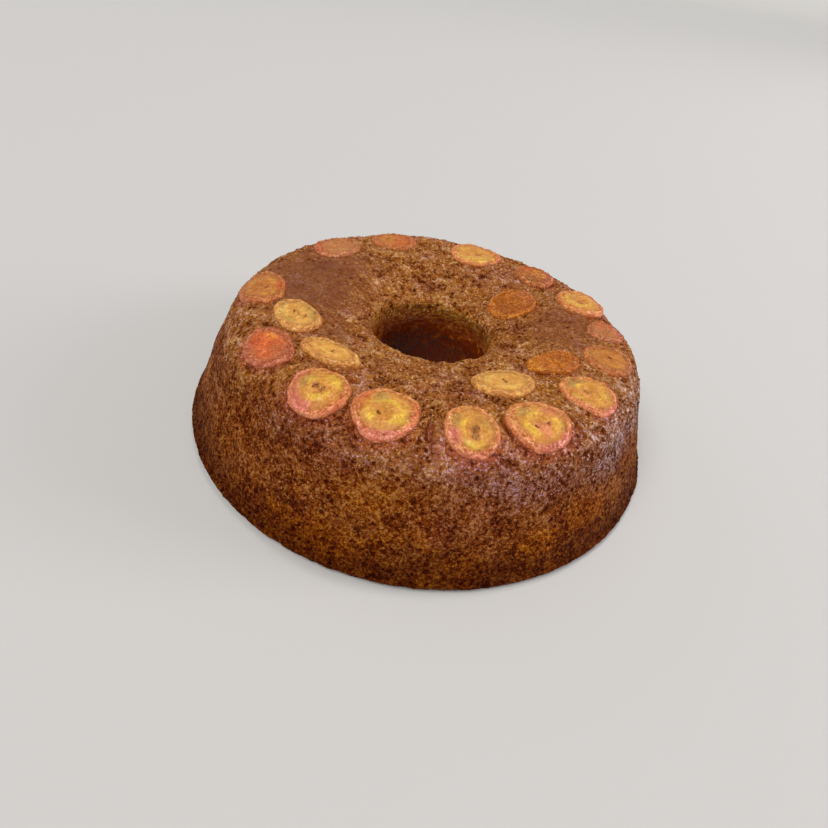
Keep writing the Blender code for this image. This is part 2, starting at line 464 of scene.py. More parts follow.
class Finish(Recipe):
    """A shader group that puts out what a finish changes over a surface."""

    OUTPUTS = {"Colour": "colour", "Roughness": float, "Height": float, "Gloss": float}

    def __init__(self, name: str, inputs: dict[str, object]) -> None:
        """Makes the group with its inputs."""
        super().__init__(name, "ShaderNodeTree", inputs, self.OUTPUTS)

    def put_out(self, **values: Feed) -> None:
        """Links values to the outputs of those names."""
        self.feed(self.result, values)

    def material(
        self, name: str, masks: dict[str, str], places: dict[str, str], bump_reach: float, settings: Inputs
    ) -> tuple[bpy.types.Material, bpy.types.Node]:
        """A material that takes its looks from the group.

        Args:
            name: the material's name.
            masks: attributes with one number, by the input that they feed.
            places: attributes with three, by the input. Place is the place on the object where none is given.
            bump_reach: how far the full Height stands out.
            settings: what the shader's other sockets are set to.

        Returns:
            The material and its group node.
        """
        material, graph, shader = new_material(name)
        use = graph.add("ShaderNodeGroup", node_tree=self.tree)
        graph.feed(use, {label: graph.attribute(stored) for label, stored in masks.items()})
        graph.feed(use, {label: graph.attribute(stored, vector=True) for label, stored in places.items()})
        if "Place" not in places:
            graph.feed(use, {"Place": graph.object_place()})
        bump = graph.add("ShaderNodeBump", {"Distance": bump_reach, "Height": use.outputs["Height"]})
        looks = {"Base Color": use.outputs["Colour"], "Roughness": use.outputs["Roughness"]}
        looks |= {"Normal": bump.outputs[0], "Coat Weight": use.outputs["Gloss"]}
        graph.feed(shader, looks | settings)
        return material, use


class Builder(Recipe):
    """A Geometry Nodes tree with a geometry and a material among its inputs."""

    def __init__(self, name: str, inputs: dict[str, object]) -> None:
        """Makes the tree with its further inputs."""
        inputs = {"Geometry": "geometry"} | inputs | {"Material": "material"}
        super().__init__(name, "GeometryNodeTree", inputs, {"Geometry": "geometry"})

    def step(self, kind: str, inputs: Inputs, **settings: object) -> Socket:
        """The first output of a Geometry Nodes node."""
        return self.add(f"GeometryNode{kind}", inputs, **settings).outputs[0]

    def place(self) -> Socket:
        """Where each point lies."""
        return self.step("InputPosition", {})

    def stored(self, name: str, kind: str = "FLOAT") -> Socket:
        """A stored attribute."""
        return self.step("InputNamedAttribute", {"Name": name}, data_type=kind)

    def store(self, geometry: Feed, name: str, value: Feed, kind: str = "FLOAT") -> Socket:
        """Stores a value at each point.

        Args:
            geometry: what holds it.
            name: the attribute's name.
            value: the value.
            kind: its kind.

        Returns:
            The geometry.
        """
        inputs = {"Geometry": geometry, "Name": name, "Value": value}
        return self.step("StoreNamedAttribute", inputs, data_type=kind, domain="POINT")

    def moved(self, geometry: Feed, offset: Feed) -> Socket:
        """The geometry with its points moved."""
        return self.step("SetPosition", {"Geometry": geometry, "Offset": offset})

    def chance(self, low: float, high: float, seed: int) -> Socket:
        """A random number for each point."""
        inputs = {2: low, 3: high, "Seed": seed}
        return self.add("FunctionNodeRandomValue", inputs, data_type="FLOAT").outputs[1]

    def chances(self, low: float, high: float, seed: int) -> Socket:
        """Three random numbers for each point."""
        inputs = {0: (low,) * 3, 1: (high,) * 3, "Seed": seed}
        return self.add("FunctionNodeRandomValue", inputs, data_type="FLOAT_VECTOR").outputs[0]

    def balls(self, points: Feed, size: Feed, stretch: Pair, seed: int, detail: int) -> Socket:
        """Lays a ball on each point, each stretched and turned its own way.

        Args:
            points: the points.
            size: the balls' radius.
            stretch: the least and the greatest stretch of a ball along its axes.
            seed: for the turns. The one after it is for the stretch.
            detail: how often a ball's faces are split.

        Returns:
            The geometry.
        """
        turn = self.add("FunctionNodeEulerToRotation", {0: self.chances(0.0, FULL_TURN, seed)}).outputs[0]
        inputs = {
            "Points": points,
            "Instance": self.step("MeshIcoSphere", {"Radius": 1.0, "Subdivisions": detail}),
            "Rotation": turn,
            "Scale": self.vector("SCALE", self.chances(*stretch, seed + 1), size),
        }
        return self.real(self.step("InstanceOnPoints", inputs))

    def real(self, geometry: Feed) -> Socket:
        """The geometry with its instances made real."""
        return self.step("RealizeInstances", {"Geometry": geometry})

    def smooth(self, geometry: Feed) -> Socket:
        """The geometry, shaded smooth."""
        return self.step("SetShadeSmooth", {"Geometry": geometry})

    def put_out(self, geometry: Feed) -> None:
        """Sets the material and puts the geometry out."""
        dressed = self.step("SetMaterial", {"Geometry": geometry, "Material": self.given["Material"]})
        self.feed(self.result, {"Geometry": dressed})

    def applied(self, source: bpy.types.Object, name: str, **values: object) -> bpy.types.Mesh:
        """Lays the tree on an object and takes the plain mesh that it makes.

        Args:
            source: the object that the tree works on.
            name: the new mesh's name.
            values: the tree's inputs, by their names with _ for a space.

        Returns:
            The mesh, with no modifier left on the object.
        """
        modifier = source.modifiers.new(self.tree.name, "NODES")
        modifier.node_group = self.tree
        for label, value in values.items():
            modifier[self.identifiers[label.replace("_", " "), "INPUT"]] = value
        graph = bpy.context.evaluated_depsgraph_get()
        mesh = bpy.data.meshes.new_from_object(
            source.evaluated_get(graph), preserve_all_data_layers=True, depsgraph=graph
        )
        source.modifiers.remove(modifier)
        mesh.name = name
        return mesh

    def made_from(self, rough: bpy.types.Mesh, name: str, **values: object) -> bpy.types.Mesh:
        """Lays the tree on a rough mesh that isn't kept.

        Args:
            rough: the mesh that the tree works on.
            name: the new mesh's name.
            values: the tree's inputs, by their names with _ for a space.

        Returns:
            The mesh that it makes.
        """
        source = link_object(rough.name, rough)
        mesh = self.applied(source, name, **values)
        bpy.data.objects.remove(source, do_unlink=True)
        return mesh


def rgba(colour: Feed) -> Feed:
    """A plain colour with full alpha. A socket stays as it is."""
    return colour if isinstance(colour, bpy.types.NodeSocket) else (*colour, 1.0)


def new_material(name: str) -> tuple[bpy.types.Material, Graph, bpy.types.Node]:
    """A material with a bare Principled BSDF.

    Args:
        name: the material's name.

    Returns:
        The material, its graph and its shader.
    """
    material = bpy.data.materials.new(name)
    material.use_nodes = True
    return material, Graph(material.node_tree), material.node_tree.nodes["Principled BSDF"]


def link_object(name: str, data: bpy.types.ID) -> bpy.types.Object:
    """Makes an object of a mesh, light or camera and links it to the scene."""
    made = bpy.data.objects.new(name, data)
    bpy.context.scene.collection.objects.link(made)
    return made


def add_piece(name: str, mesh: bpy.types.Mesh, slot: str, replaced: Sequence[str] = ()) -> bpy.types.Object:
    """Adds a finished piece of the cake.

    Args:
        name: the piece's name.
        mesh: its mesh, in place.
        slot: a material slot's name. It is not used.
        replaced: the solids that it stands for.

    Returns:
        The piece.
    """
    piece = link_object(name, mesh)
    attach(piece, BODY)
    if replaced:
        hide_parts(*replaced)
    faces = sum(len(polygon.vertices) - 2 for polygon in mesh.polygons)
    LOG.info("%s: %d triangles", name, faces)
    return piece


# what the crumb's colour reads from the surface, by attribute
SURFACE_MASKS = ("skin", "syrup", "blush", "glaze", "amber", "dusk", "shade")


@dataclass(frozen=True)
class CrumbFinish:
    """The moist open crumb: its colour at each height, and what its pores, skin and syrup do to it."""

    # crown: lighter and greyer than the wall, partly painted light and sheen from above
    crown: Colour = (0.364, 0.176, 0.048)
    wall: Colour = (0.218, 0.067, 0.0098)
    # foot: darkens the bottom of the wall with painted shade
    foot: Colour = (0.098, 0.022, 0.0011)
    amber: Colour = (1.28, 1.20, 0.16)
    # dusk: partly greyer crumb, partly painted sheen of the window light on the shoulders
    dusk: Colour = (0.98, 0.92, 1.90)
    # pore, deep, pale and fleck tint the crumb by its light value: pore and deep are painted shade in pores
    # and hollows, fleck is partly light crumb and partly painted highlight
    pore: Colour = (0.24, 0.09, 0.03)
    deep: Colour = (0.84, 0.59, 0.38)
    pale: Colour = (1.20, 1.25, 1.30)
    fleck: Colour = (1.76, 2.20, 4.30)
    golden_fleck: Colour = (1.80, 2.30, 1.70)
    # painted highlights: pale glints high up, golden ones low on the wall
    painted_glint: Colour = (2.20, 3.10, 6.40)
    golden_painted_glint: Colour = (2.30, 3.40, 5.00)
    skin: Colour = (0.168, 0.059, 0.025)
    # syrup: dark syrup in pits and the wet hole, and a band round each slice that is partly syrup stain and
    # partly painted shade
    syrup: Colour = (0.280, 0.056, 0.006)
    # painted reflection: the pale window light on the wet right shoulder, laid where the glaze mask is
    painted_reflection: Colour = (0.300, 0.190, 0.140)
    warm: Colour = (1.05, 0.99, 0.76)
    cool: Colour = (0.99, 0.97, 1.36)
    blush: Colour = (0.400, 0.108, 0.060)
    crown_levels: Pair = (0.043, 0.0575)
    foot_levels: Pair = (0.026, 0.004)
    top_levels: Pair = (0.040, 0.057)
    amber_levels: Pair = (0.010, 0.046)
    golden_levels: Pair = (0.012, 0.044)
    gloss_levels: Pair = (0.018, 0.052)
    lip_radii: Pair = (0.040, 0.033)
    lip_lift: float = 0.009
    zone_size: float = 16 * MM
    dusk_size: float = 19 * MM
    amber_size: float = 12 * MM
    shade_size: float = 13 * MM
    cloud_size: float = 5.0 * MM
    pore_size: float = 3.0 * MM
    hue_size: float = 2.0 * MM
    crumb_size: float = 1.55 * MM
    clot_size: float = 1.5 * MM
    bead_size: float = 1.4 * MM
    painted_glint_size: float = 1.0 * MM
    grain_size: float = 0.6 * MM
    bump_reach: float = 0.7 * MM
    shine: float = 0.04
    gloss_roughness: float = 0.24

    def recipe(self) -> Finish:
        """The shader group that colours crumb, for the cake and for its loose crumbs."""
        masks = ("Relief", "Tone", *(label.title() for label in SURFACE_MASKS))
        group = Finish("open crumb", {"Place": tuple} | {label: float for label in masks})
        given, place = group.given, group.given["Place"]
        skin, syrup, glaze = given["Skin"], given["Syrup"], given["Glaze"]
        level = self.level(group, place)
        on_top = group.ramp(level, *self.top_levels)
        golden = group.ramp(level, *self.golden_levels)
        still = group.most(skin, group.times(syrup, 0.8))
        calm = group.times(group.share(still, 1.0, 0.55), group.share(on_top, 1.34, 0.86))
        cloud = group.swell(place, self.cloud_size)
        grain = group.swell(place, self.grain_size, 1.0)
        texture = self.texture(group, place, cloud, grain)
        light = group.total(
            group.times(texture, calm),
            group.swell(place, self.shade_size, reach=0.10),
            # raised relief lighter, sunken relief darker: painted light and shade on the relief
            group.times(given["Relief"], group.share(on_top, 0.25, 0.20)),
            group.times(given["Shade"], 0.13),
            given["Tone"],
            0.44,
        )
        colour = self.zones(group, place, level)
        colour = group.mix(group.times(skin, 0.7), colour, self.skin)
        colour = group.mix(group.times(syrup, 0.80), colour, self.syrup)
        colour = group.mix(group.times(given["Blush"], 0.85), colour, self.blush)
        # painted reflection of the window light on the glazed, wet crumb
        painted_reflection_share = group.ramp(group.total(light, group.times(grain, 0.25)), 0.45, 0.80)
        colour = group.mix(group.times(painted_reflection_share, glaze, 0.45), colour, self.painted_reflection)
        # tone by the light value: its dark end is painted shade in pores and hollows, its light end partly
        # painted highlight
        tone = group.mix(group.ramp(light, 0.00, 0.44), self.pore, self.deep)
        tone = group.mix(group.ramp(light, 0.42, 0.74), tone, self.pale)
        fleck = group.mix(golden, self.golden_fleck, self.fleck)
        tone = group.mix(group.ramp(light, 0.62, 0.98), tone, fleck)
        bead, chosen = group.cells(group.warped(place, 1.6 * MM, 1.2 * MM), self.bead_size)
        # painted highlights: small glints lightened into the crumb where it is lit
        painted_glint = group.most(
            group.ramp(group.noise(place, self.painted_glint_size, 1.0), 0.61, 0.72),
            group.times(group.ramp(bead, 0.46, 0.20), group.ramp(chosen, 0.42, 0.60)),
        )
        lit = group.times(group.ramp(light, 0.18, 0.54), group.share(on_top, 0.74, 0.45))
        painted_glint = group.times(painted_glint, lit, group.share(still, 1.0, 0.5))
        tone = group.mix(painted_glint, tone, group.mix(golden, self.golden_painted_glint, self.painted_glint))
        hue = group.mix(group.ramp(group.noise(place, self.hue_size), 0.38, 0.62), self.warm, self.cool)
        wet = group.most(group.times(skin, 0.45), syrup)
        crests = group.spread(level, *self.gloss_levels, 0.07, 0.66)
        crests = group.times(group.ramp(light, 0.62, 0.90), crests)
        glazed = group.times(group.ramp(light, 0.25, 0.60), glaze)
        group.put_out(
            Colour=group.tint(group.tint(colour, tone), hue),
            Roughness=group.total(group.spread(light, 0.15, 0.85, 0.80, 0.50), group.times(wet, -0.18)),
            Height=group.times(group.total(texture, group.times(cloud, -0.10)), calm),
            Gloss=group.most(crests, group.times(wet, 0.50), glazed),
        )
        return group

    def level(self, group: Finish, place: Feed) -> Socket:
        """How high the crumb lies, counting the hole's upper wall as part of the top."""
        x, y, z = group.add("ShaderNodeSeparateXYZ", {0: place}).outputs
        away = group.math("SQRT", group.total(group.math("POWER", x, 2.0), group.math("POWER", y, 2.0)))
        return group.total(z, group.times(group.ramp(away, *self.lip_radii), self.lip_lift))

    def texture(self, group: Finish, place: Feed, cloud: Feed, grain: Feed) -> Socket:
        """How the crumb's cells, pores, clots and grain lighten or darken it. The darkening in the pores and
        cell hollows is painted shade.
        """
        bent = group.warped(group.warped(place, 2.8 * MM, 1.8 * MM), 1.2 * MM, 1.0 * MM)
        cell, own = group.cells(bent, self.crumb_size)
        pore, chosen = group.cells(group.warped(place, 1.9 * MM, 1.9 * MM), self.pore_size)
        clots = group.spread(group.noise(bent, self.clot_size, 2.0, 0.6), 0.32, 0.68, -1.0, 1.0)
        return group.total(
            group.times(group.ramp(cell, 0.60, 0.16), group.ramp(own, 0.15, 0.85), -0.15),
            group.times(group.ramp(cell, 0.45, 0.75), 0.10),
            group.times(group.spread(own, 0.25, 0.75, -1.0, 1.0), 0.10),
            group.times(clots, 0.24),
            group.times(cloud, 0.13),
            group.times(grain, 0.18),
            group.times(group.ramp(pore, 0.42, 0.12), group.ramp(chosen, 0.45, 0.75), -0.28),
        )

    def zones(self, group: Finish, place: Feed, level: Feed) -> Socket:
        """The crumb's broad colour: by height, with amber and dusky clouds. The darker foot is painted shade,
        and the lighter, greyer crown is partly painted light from above.
        """
        level = group.total(level, group.swell(place, self.zone_size, reach=4 * MM))
        colour = group.mix(group.ramp(level, *self.crown_levels), self.wall, self.crown)
        colour = group.mix(group.ramp(level, *self.foot_levels), colour, self.foot)
        amber = group.ramp(group.noise(place, self.amber_size, 3.0), 0.48, 0.66)
        amber = group.times(amber, group.spread(level, *self.amber_levels, 0.60, 0.16))
        # dusky clouds and patches: partly greyer crumb, partly painted sheen
        dusk = group.times(group.ramp(group.noise(place, self.dusk_size, 3.0), 0.50, 0.68), 0.40)
        colour = group.tint(colour, self.amber, group.most(amber, group.given["Amber"]))
        return group.tint(colour, self.dusk, group.most(dusk, group.given["Dusk"]))

    def material(self, group: Finish, name: str, own: str, places: dict[str, str]) -> bpy.types.Material:
        """A material that uses the shared group.

        Args:
            group: the shared shader group.
            name: the material's name.
            own: the mask that only this material reads.
            places: the attribute that holds the crumb's place, by the input that it feeds, if there is one.

        Returns:
            The material.
        """
        masks = {label.title(): label for label in (*SURFACE_MASKS, own)}
        settings = {"Specular IOR Level": self.shine, "Coat Roughness": self.gloss_roughness}
        material, _ = group.material(name, masks, places, self.bump_reach, settings)
        return material


@dataclass(frozen=True)
class Bumps:
    """One size of relief: how far apart its bumps lie and how far they stand out or go in."""

    size: float
    height: float


class PatchKind(Enum):
    """What sets a patch of the cake's surface apart."""

    SKIN = "glossy skin left by the tin"
    CLOSED = "crumb pressed smooth"
    TORN = "crumb torn open"
    PIT = "syrupy hollow"
    # GLAZE patches are crumb wet with syrup that also carry a painted reflection of the window light
    GLAZE = "crumb wet with syrup"
    AMBER = "crumb soaked golden"
    # DUSK patches on the shoulders are partly painted sheen
    DUSK = "greyer crumb"
    SOAKED = "darker crumb, soaked through"
    PALE = "paler crumb"


# the spans at which a patch's share is none and full
FIRM, SOFT, SOFTER, SOFTEST = (1.25, 0.70), (1.50, 0.40), (1.50, 0.30), (1.50, 0.20)


@dataclass(frozen=True)
class Patch:
    """A patch of the surface, placed by bearing and by distance over the surface from the axis."""

    kind: PatchKind
    bearing: float
    distance: float
    round_reach: float
    out_reach: float
    strength: float
    edge: Pair = FIRM
    depth: float = 0.0

    def share(self, bearing: np.ndarray, way: np.ndarray, wobble: np.ndarray) -> np.ndarray:
        """How far each place belongs to the patch.

        Args:
            bearing: bearings in radians.
            way: distances over the surface.
            wobble: noise that makes the patch's edge uneven.

        Returns:
            Its strength in the middle, down to 0 outside.
        """
        turned = (bearing - math.radians(self.bearing) + math.pi) % FULL_TURN - math.pi
        span = np.hypot(turned * self.distance / self.round_reach, (way - self.distance) / self.out_reach)
        return self.strength * rise(*self.edge, span + 0.30 * wobble)


# bearing, distance, reach round and outwards, strength and edge, by kind
PATCH_ROWS = {
    PatchKind.SKIN: (
        (168, 0.065, 0.036, 0.022, 1.0, (1.75, 0.40)), (207, 0.052, 0.020, 0.009, 0.6, SOFT),
        (8, 0.066, 0.024, 0.018, 0.7, SOFT),
    ),
    PatchKind.CLOSED: (
        (352, 0.061, 0.024, 0.014, 0.9),
    ),
    PatchKind.GLAZE: (
        (318, 0.104, 0.024, 0.018, 1.00, SOFTER), (336, 0.100, 0.020, 0.014, 1.00, SOFTER),
        (295, 0.110, 0.026, 0.010, 0.55, SOFTER),
    ),
    PatchKind.AMBER: (
        (311, 0.136, 0.020, 0.013, 0.85, (1.40, 0.30)), (298, 0.140, 0.016, 0.009, 0.85, (1.40, 0.30)),
        (262, 0.121, 0.020, 0.010, 0.60, SOFTEST), (250, 0.145, 0.040, 0.008, 0.90, SOFTER),
        (283, 0.146, 0.014, 0.006, 0.70, (1.40, 0.30)), (222, 0.122, 0.028, 0.016, 0.40, SOFTEST),
    ),
    PatchKind.DUSK: (
        (284, 0.101, 0.026, 0.011, 1.00, SOFTEST), (304, 0.103, 0.018, 0.010, 0.60, SOFTEST),
        (322, 0.112, 0.018, 0.014, 0.60, SOFTEST), (277, 0.131, 0.012, 0.009, 0.70, (1.40, 0.20)),
        (62, 0.064, 0.020, 0.012, 0.50, SOFTEST), (296, 0.110, 0.028, 0.010, 0.60, SOFTEST),
        (247, 0.105, 0.034, 0.012, 0.70, SOFTEST),
    ),
    PatchKind.SOAKED: (
        (240, 0.100, 0.034, 0.014, 1.00, SOFTEST), (241, 0.143, 0.030, 0.010, 0.60, SOFTEST),
        (222, 0.120, 0.026, 0.016, 0.50, SOFTEST), (8, 0.038, 0.012, 0.010, 0.80, SOFTEST),
        (29, 0.056, 0.014, 0.008, 0.70, SOFTEST), (308, 0.131, 0.018, 0.010, 0.60, SOFTEST),
    ),
    PatchKind.PALE: (
        (271, 0.104, 0.020, 0.010, 0.80, SOFTEST), (277, 0.116, 0.034, 0.012, 1.00, SOFTEST),
        (241, 0.040, 0.014, 0.012, 0.70, SOFTEST),
    ),
    PatchKind.TORN: (
        (273, 0.066, 0.018, 0.022, 1.0), (92, 0.060, 0.040, 0.022, 0.6),
    ),
}
# bearing, distance, reach round and outwards, strength and depth of each syrupy pit
PIT_ROWS = (
    (246.5, 0.0752, 0.0024, 0.0018, 1.0, 0.0024), (284.0, 0.0614, 0.0042, 0.0013, 0.8, 0.0012),
    (271.5, 0.0895, 0.0019, 0.0052, 1.0, 0.0026), (273.5, 0.0960, 0.0024, 0.0018, 0.9, 0.0020),
    (290.5, 0.0868, 0.0013, 0.0060, 1.0, 0.0026), (309.5, 0.0930, 0.0014, 0.0060, 1.0, 0.0024),
    (314.5, 0.0985, 0.0024, 0.0016, 0.9, 0.0018), (306.0, 0.0990, 0.0040, 0.0014, 0.8, 0.0016),
    (314.5, 0.0975, 0.0030, 0.0014, 0.9, 0.0016), (288.0, 0.1082, 0.0013, 0.0018, 0.8, 0.0014),
    (294.5, 0.1118, 0.0020, 0.0014, 0.9, 0.0014), (306.5, 0.1054, 0.0016, 0.0012, 0.8, 0.0012),
    (284.5, 0.1114, 0.0014, 0.0012, 0.7, 0.0012), (273.5, 0.0994, 0.0016, 0.0014, 0.8, 0.0014),
    (256.0, 0.1134, 0.0014, 0.0012, 0.6, 0.0012), (268.0, 0.0620, 0.0030, 0.0020, 0.5, 0.0018),
    (277.0, 0.0740, 0.0026, 0.0018, 0.5, 0.0018),
)
PATCHES = (
    *(Patch(kind, *row) for kind, rows in PATCH_ROWS.items() for row in rows),
    *(Patch(PatchKind.PIT, *row, depth=depth) for *row, depth in PIT_ROWS),
)


class Tone(Enum):
    """The colour family of a banana slice."""

    GOLDEN = "golden"
    HONEY = "honey"
    ORANGE = "orange"
    AMBER = "amber"
    PEACH = "peach"
    RED = "red"


class Pulp(Enum):
    """What a mark on a slice shows."""

    YELLOW = "yellow"
    OLIVE = "olive"
    BROWN = "brown"
    RED = "red"
    PINK = "pink"


YELLOW, OLIVE, BROWN, RED, PINK = Pulp


@dataclass(frozen=True)
class Mark:
    """A bent oval mark on a slice, placed by its angle round the slice and its share of the way out."""

    pulp: Pulp
    angle: float
    reach: float
    long: float
    wide: float
    strength: float = 1.0

    def share(self, reach: np.ndarray, angle: np.ndarray, wobble: np.ndarray) -> np.ndarray:
        """How far each place belongs to the mark.

        Args:
            reach: shares of the way out to the rim.
            angle: angles round the slice.
            wobble: noise that makes the mark's edge uneven.

        Returns:
            Its strength in the middle, down to 0 outside.
        """
        turned = angle - math.radians(self.angle)
        round_way, out_way = reach * np.sin(turned), reach * np.cos(turned) - self.reach
        bent = out_way + round_way**2 / (2.0 * max(self.reach, 0.3))
        span = np.hypot(round_way / self.long, bent / self.wide)
        return self.strength * rise(1.45, 0.45, span + 0.40 * wobble)


@dataclass(frozen=True)
class FruitShading:
    """What the shader group does to every tone of baked banana."""

    # fold, furrow and ridge: painted shade in the folds' valleys and painted highlight on their ridges
    fold: Colour = (0.66, 0.48, 0.40)
    painted_furrow_shade: Colour = (0.74, 0.48, 0.38)
    ridge: Colour = (1.22, 1.46, 1.70)
    # side: painted shade on the slice's side and underside
    side: Colour = (0.60, 0.42, 0.36)
    # hollow and crest: painted shade in the grain's hollows and painted light on its crests
    hollow: Colour = (0.68, 0.50, 0.38)
    crest: Colour = (1.16, 1.20, 1.22)
    speck: Colour = (0.84, 0.46, 0.16)
    shaded: Colour = (0.90, 0.84, 0.76)
    lit: Colour = (1.12, 1.18, 1.30)
    # turn: painted highlight along the slice's rounded rim
    turn: Colour = (1.12, 1.34, 1.50)
    # painted highlight: small pale glints near the rim
    painted_glint: Colour = (0.95, 0.60, 0.36)
    cloud_size: float = 5.0 * MM
    light_size: float = 3.4 * MM
    fleck_size: float = 1.1 * MM
    grain_size: float = 0.8 * MM
    streak_size: float = 0.34
    fold_size: float = 0.55
    fold_stretch: Triple = (1.9, 1.9, 11.0)

    def recipe(self) -> Finish:
        """The shader group that colours a slice from its stored masks."""
        pulps = tuple(pulp.value.title() for pulp in Pulp)
        inputs = {f"{label} Colour": "colour" for label in ("Flesh", "Rim", *pulps)}
        inputs |= {label: float for label in ("Reach", "Ragged", "Crease", *pulps)}
        group = Finish("baked banana", inputs | {"Fibre": tuple, "Place": tuple})
        given = group.given
        place, fibre, reach = given["Place"], given["Fibre"], given["Reach"]
        streak = group.noise(fibre, self.streak_size)
        fold = group.noise(group.vector("MULTIPLY", fibre, self.fold_stretch), self.fold_size, 2.0, 0.6)
        fleck = group.noise(place, self.fleck_size, 2.0, 0.6)
        cloud = group.noise(place, self.cloud_size)
        grain = group.noise(place, self.grain_size, 1.0)
        uneven = group.times(self.swung(group, fleck, 0.8, 1.2), self.swung(group, streak, 0.6, 1.3))
        patchy = self.swung(group, fleck, 0.55, 1.30)
        edge = group.ramp(group.total(reach, self.swung(group, fleck, -0.10, 0.10)), 0.60, 0.82)
        coarse = group.most(given["Ragged"], group.times(edge, 0.55))

        mixed = group.times(group.ramp(cloud, 0.38, 0.62), 0.28)
        colour = group.mix(mixed, given["Flesh Colour"], given["Rim Colour"])
        colour = group.mix(group.times(group.ramp(streak, 0.50, 0.72), 0.28), colour, given["Yellow Colour"])
        colour = group.mix(group.times(edge, 0.90), colour, given["Rim Colour"])
        for pulp in (RED, OLIVE, YELLOW, BROWN, PINK):
            label = pulp.value.title()
            share = group.times(given[label], patchy if pulp in (RED, PINK) else uneven)
            colour = group.mix(share, colour, given[f"{label} Colour"])

        # painted shade in the low folds and creases, painted highlight on the creases' ridges
        folded = group.times(group.ramp(fold, 0.50, 0.34), edge, 0.36)
        colour = group.tint(colour, self.fold, folded)
        painted_furrow_shade = group.times(group.ramp(given["Crease"], 0.0, -0.40), group.share(edge, 0.12, 0.55))
        colour = group.tint(colour, self.painted_furrow_shade, painted_furrow_shade)
        ridge = group.times(group.ramp(given["Crease"], 0.10, 0.48), group.share(edge, 0.10, 0.85))
        colour = group.tint(colour, self.ridge, ridge)
        # painted shade down the slice's side
        side = group.ramp(group.total(reach, self.swung(group, fleck, -0.12, 0.12)), 1.00, 1.36)
        colour = group.tint(colour, self.side, group.times(side, 0.60))
        # painted shade and light on the grain, following its bump
        painted_grain_shading = group.mix(group.ramp(fleck, 0.34, 0.62), self.hollow, self.crest)
        colour = group.tint(colour, painted_grain_shading, group.share(coarse, 0.35, 1.0))
        speck = group.times(group.ramp(grain, 0.58, 0.72), group.share(coarse, 0.15, 1.0), 0.50)
        colour = group.mix(speck, colour, self.speck)
        light = group.ramp(group.noise(place, self.light_size, 2.0, 0.6), 0.34, 0.66)
        colour = group.tint(colour, group.mix(light, self.shaded, self.lit))
        # painted highlight where the face turns over at the rim
        turn = group.total(reach, self.swung(group, fleck, -0.025, 0.025))
        turn = group.times(group.ramp(turn, 0.80, 0.88), group.ramp(turn, 0.98, 0.90))
        turn = group.times(turn, group.spread(cloud, 0.40, 0.60, 0.05, 0.60))
        colour = group.tint(colour, self.turn, turn)
        # painted highlight: small glints near the rim
        painted_glint = group.times(group.ramp(grain, 0.66, 0.76), group.share(edge, 0.25, 0.80))

        wet = group.times(group.most(given["Olive"], given["Yellow"]), -0.12)
        group.put_out(
            Colour=group.mix(painted_glint, colour, self.painted_glint),
            Roughness=group.total(self.swung(group, fleck, 0.46, 0.28), wet),
            Height=group.total(
                group.times(fleck, group.share(coarse, 0.25, 1.5)),
                group.times(streak, 0.40),
                group.times(fold, group.share(edge, 0.2, 1.1)),
                group.times(grain, coarse, 0.8),
            ),
            Gloss=group.times(group.ramp(fleck, 0.48, 0.62), group.spread(ridge, 0.0, 0.6, 0.10, 0.55)),
        )
        return group

    @staticmethod
    def swung(group: Finish, noise_share: Feed, low: float, high: float) -> Socket:
        """Maps the middle of a noise to a range."""
        return group.spread(noise_share, 0.3, 0.7, low, high)


@dataclass(frozen=True)
class FruitFinish:
    """Baked banana: the colours of its flesh, its marks and its rim."""

    slot: str
    flesh: Colour
    rim: Colour
    yellow: Colour
    olive: Colour
    brown: Colour
    red: Colour
    pink: Colour
    shine: float = 0.34
    gloss_roughness: float = 0.20
    subsurface: float = 0.16
    subsurface_reach: float = 1.5 * MM
    subsurface_colour: Colour = (1.0, 0.45, 0.15)
    bump_reach: float = 0.6 * MM

    def material(self, group: Finish, name: str) -> bpy.types.Material:
        """This tone's material."""
        pulps = tuple(pulp.value for pulp in Pulp)
        masks = {label.title(): label for label in ("reach", "ragged", "crease", *pulps)}
        settings = {
            "Specular IOR Level": self.shine,
            "Coat Roughness": self.gloss_roughness,
            "Subsurface Weight": self.subsurface,
            "Subsurface Radius": self.subsurface_colour,
            "Subsurface Scale": self.subsurface_reach,
        }
        material, use = group.material(name, masks, {"Fibre": "fibre"}, self.bump_reach, settings)
        for label in ("flesh", "rim", *pulps):
            use.inputs[f"{label.title()} Colour"].default_value = rgba(getattr(self, label))
        return material


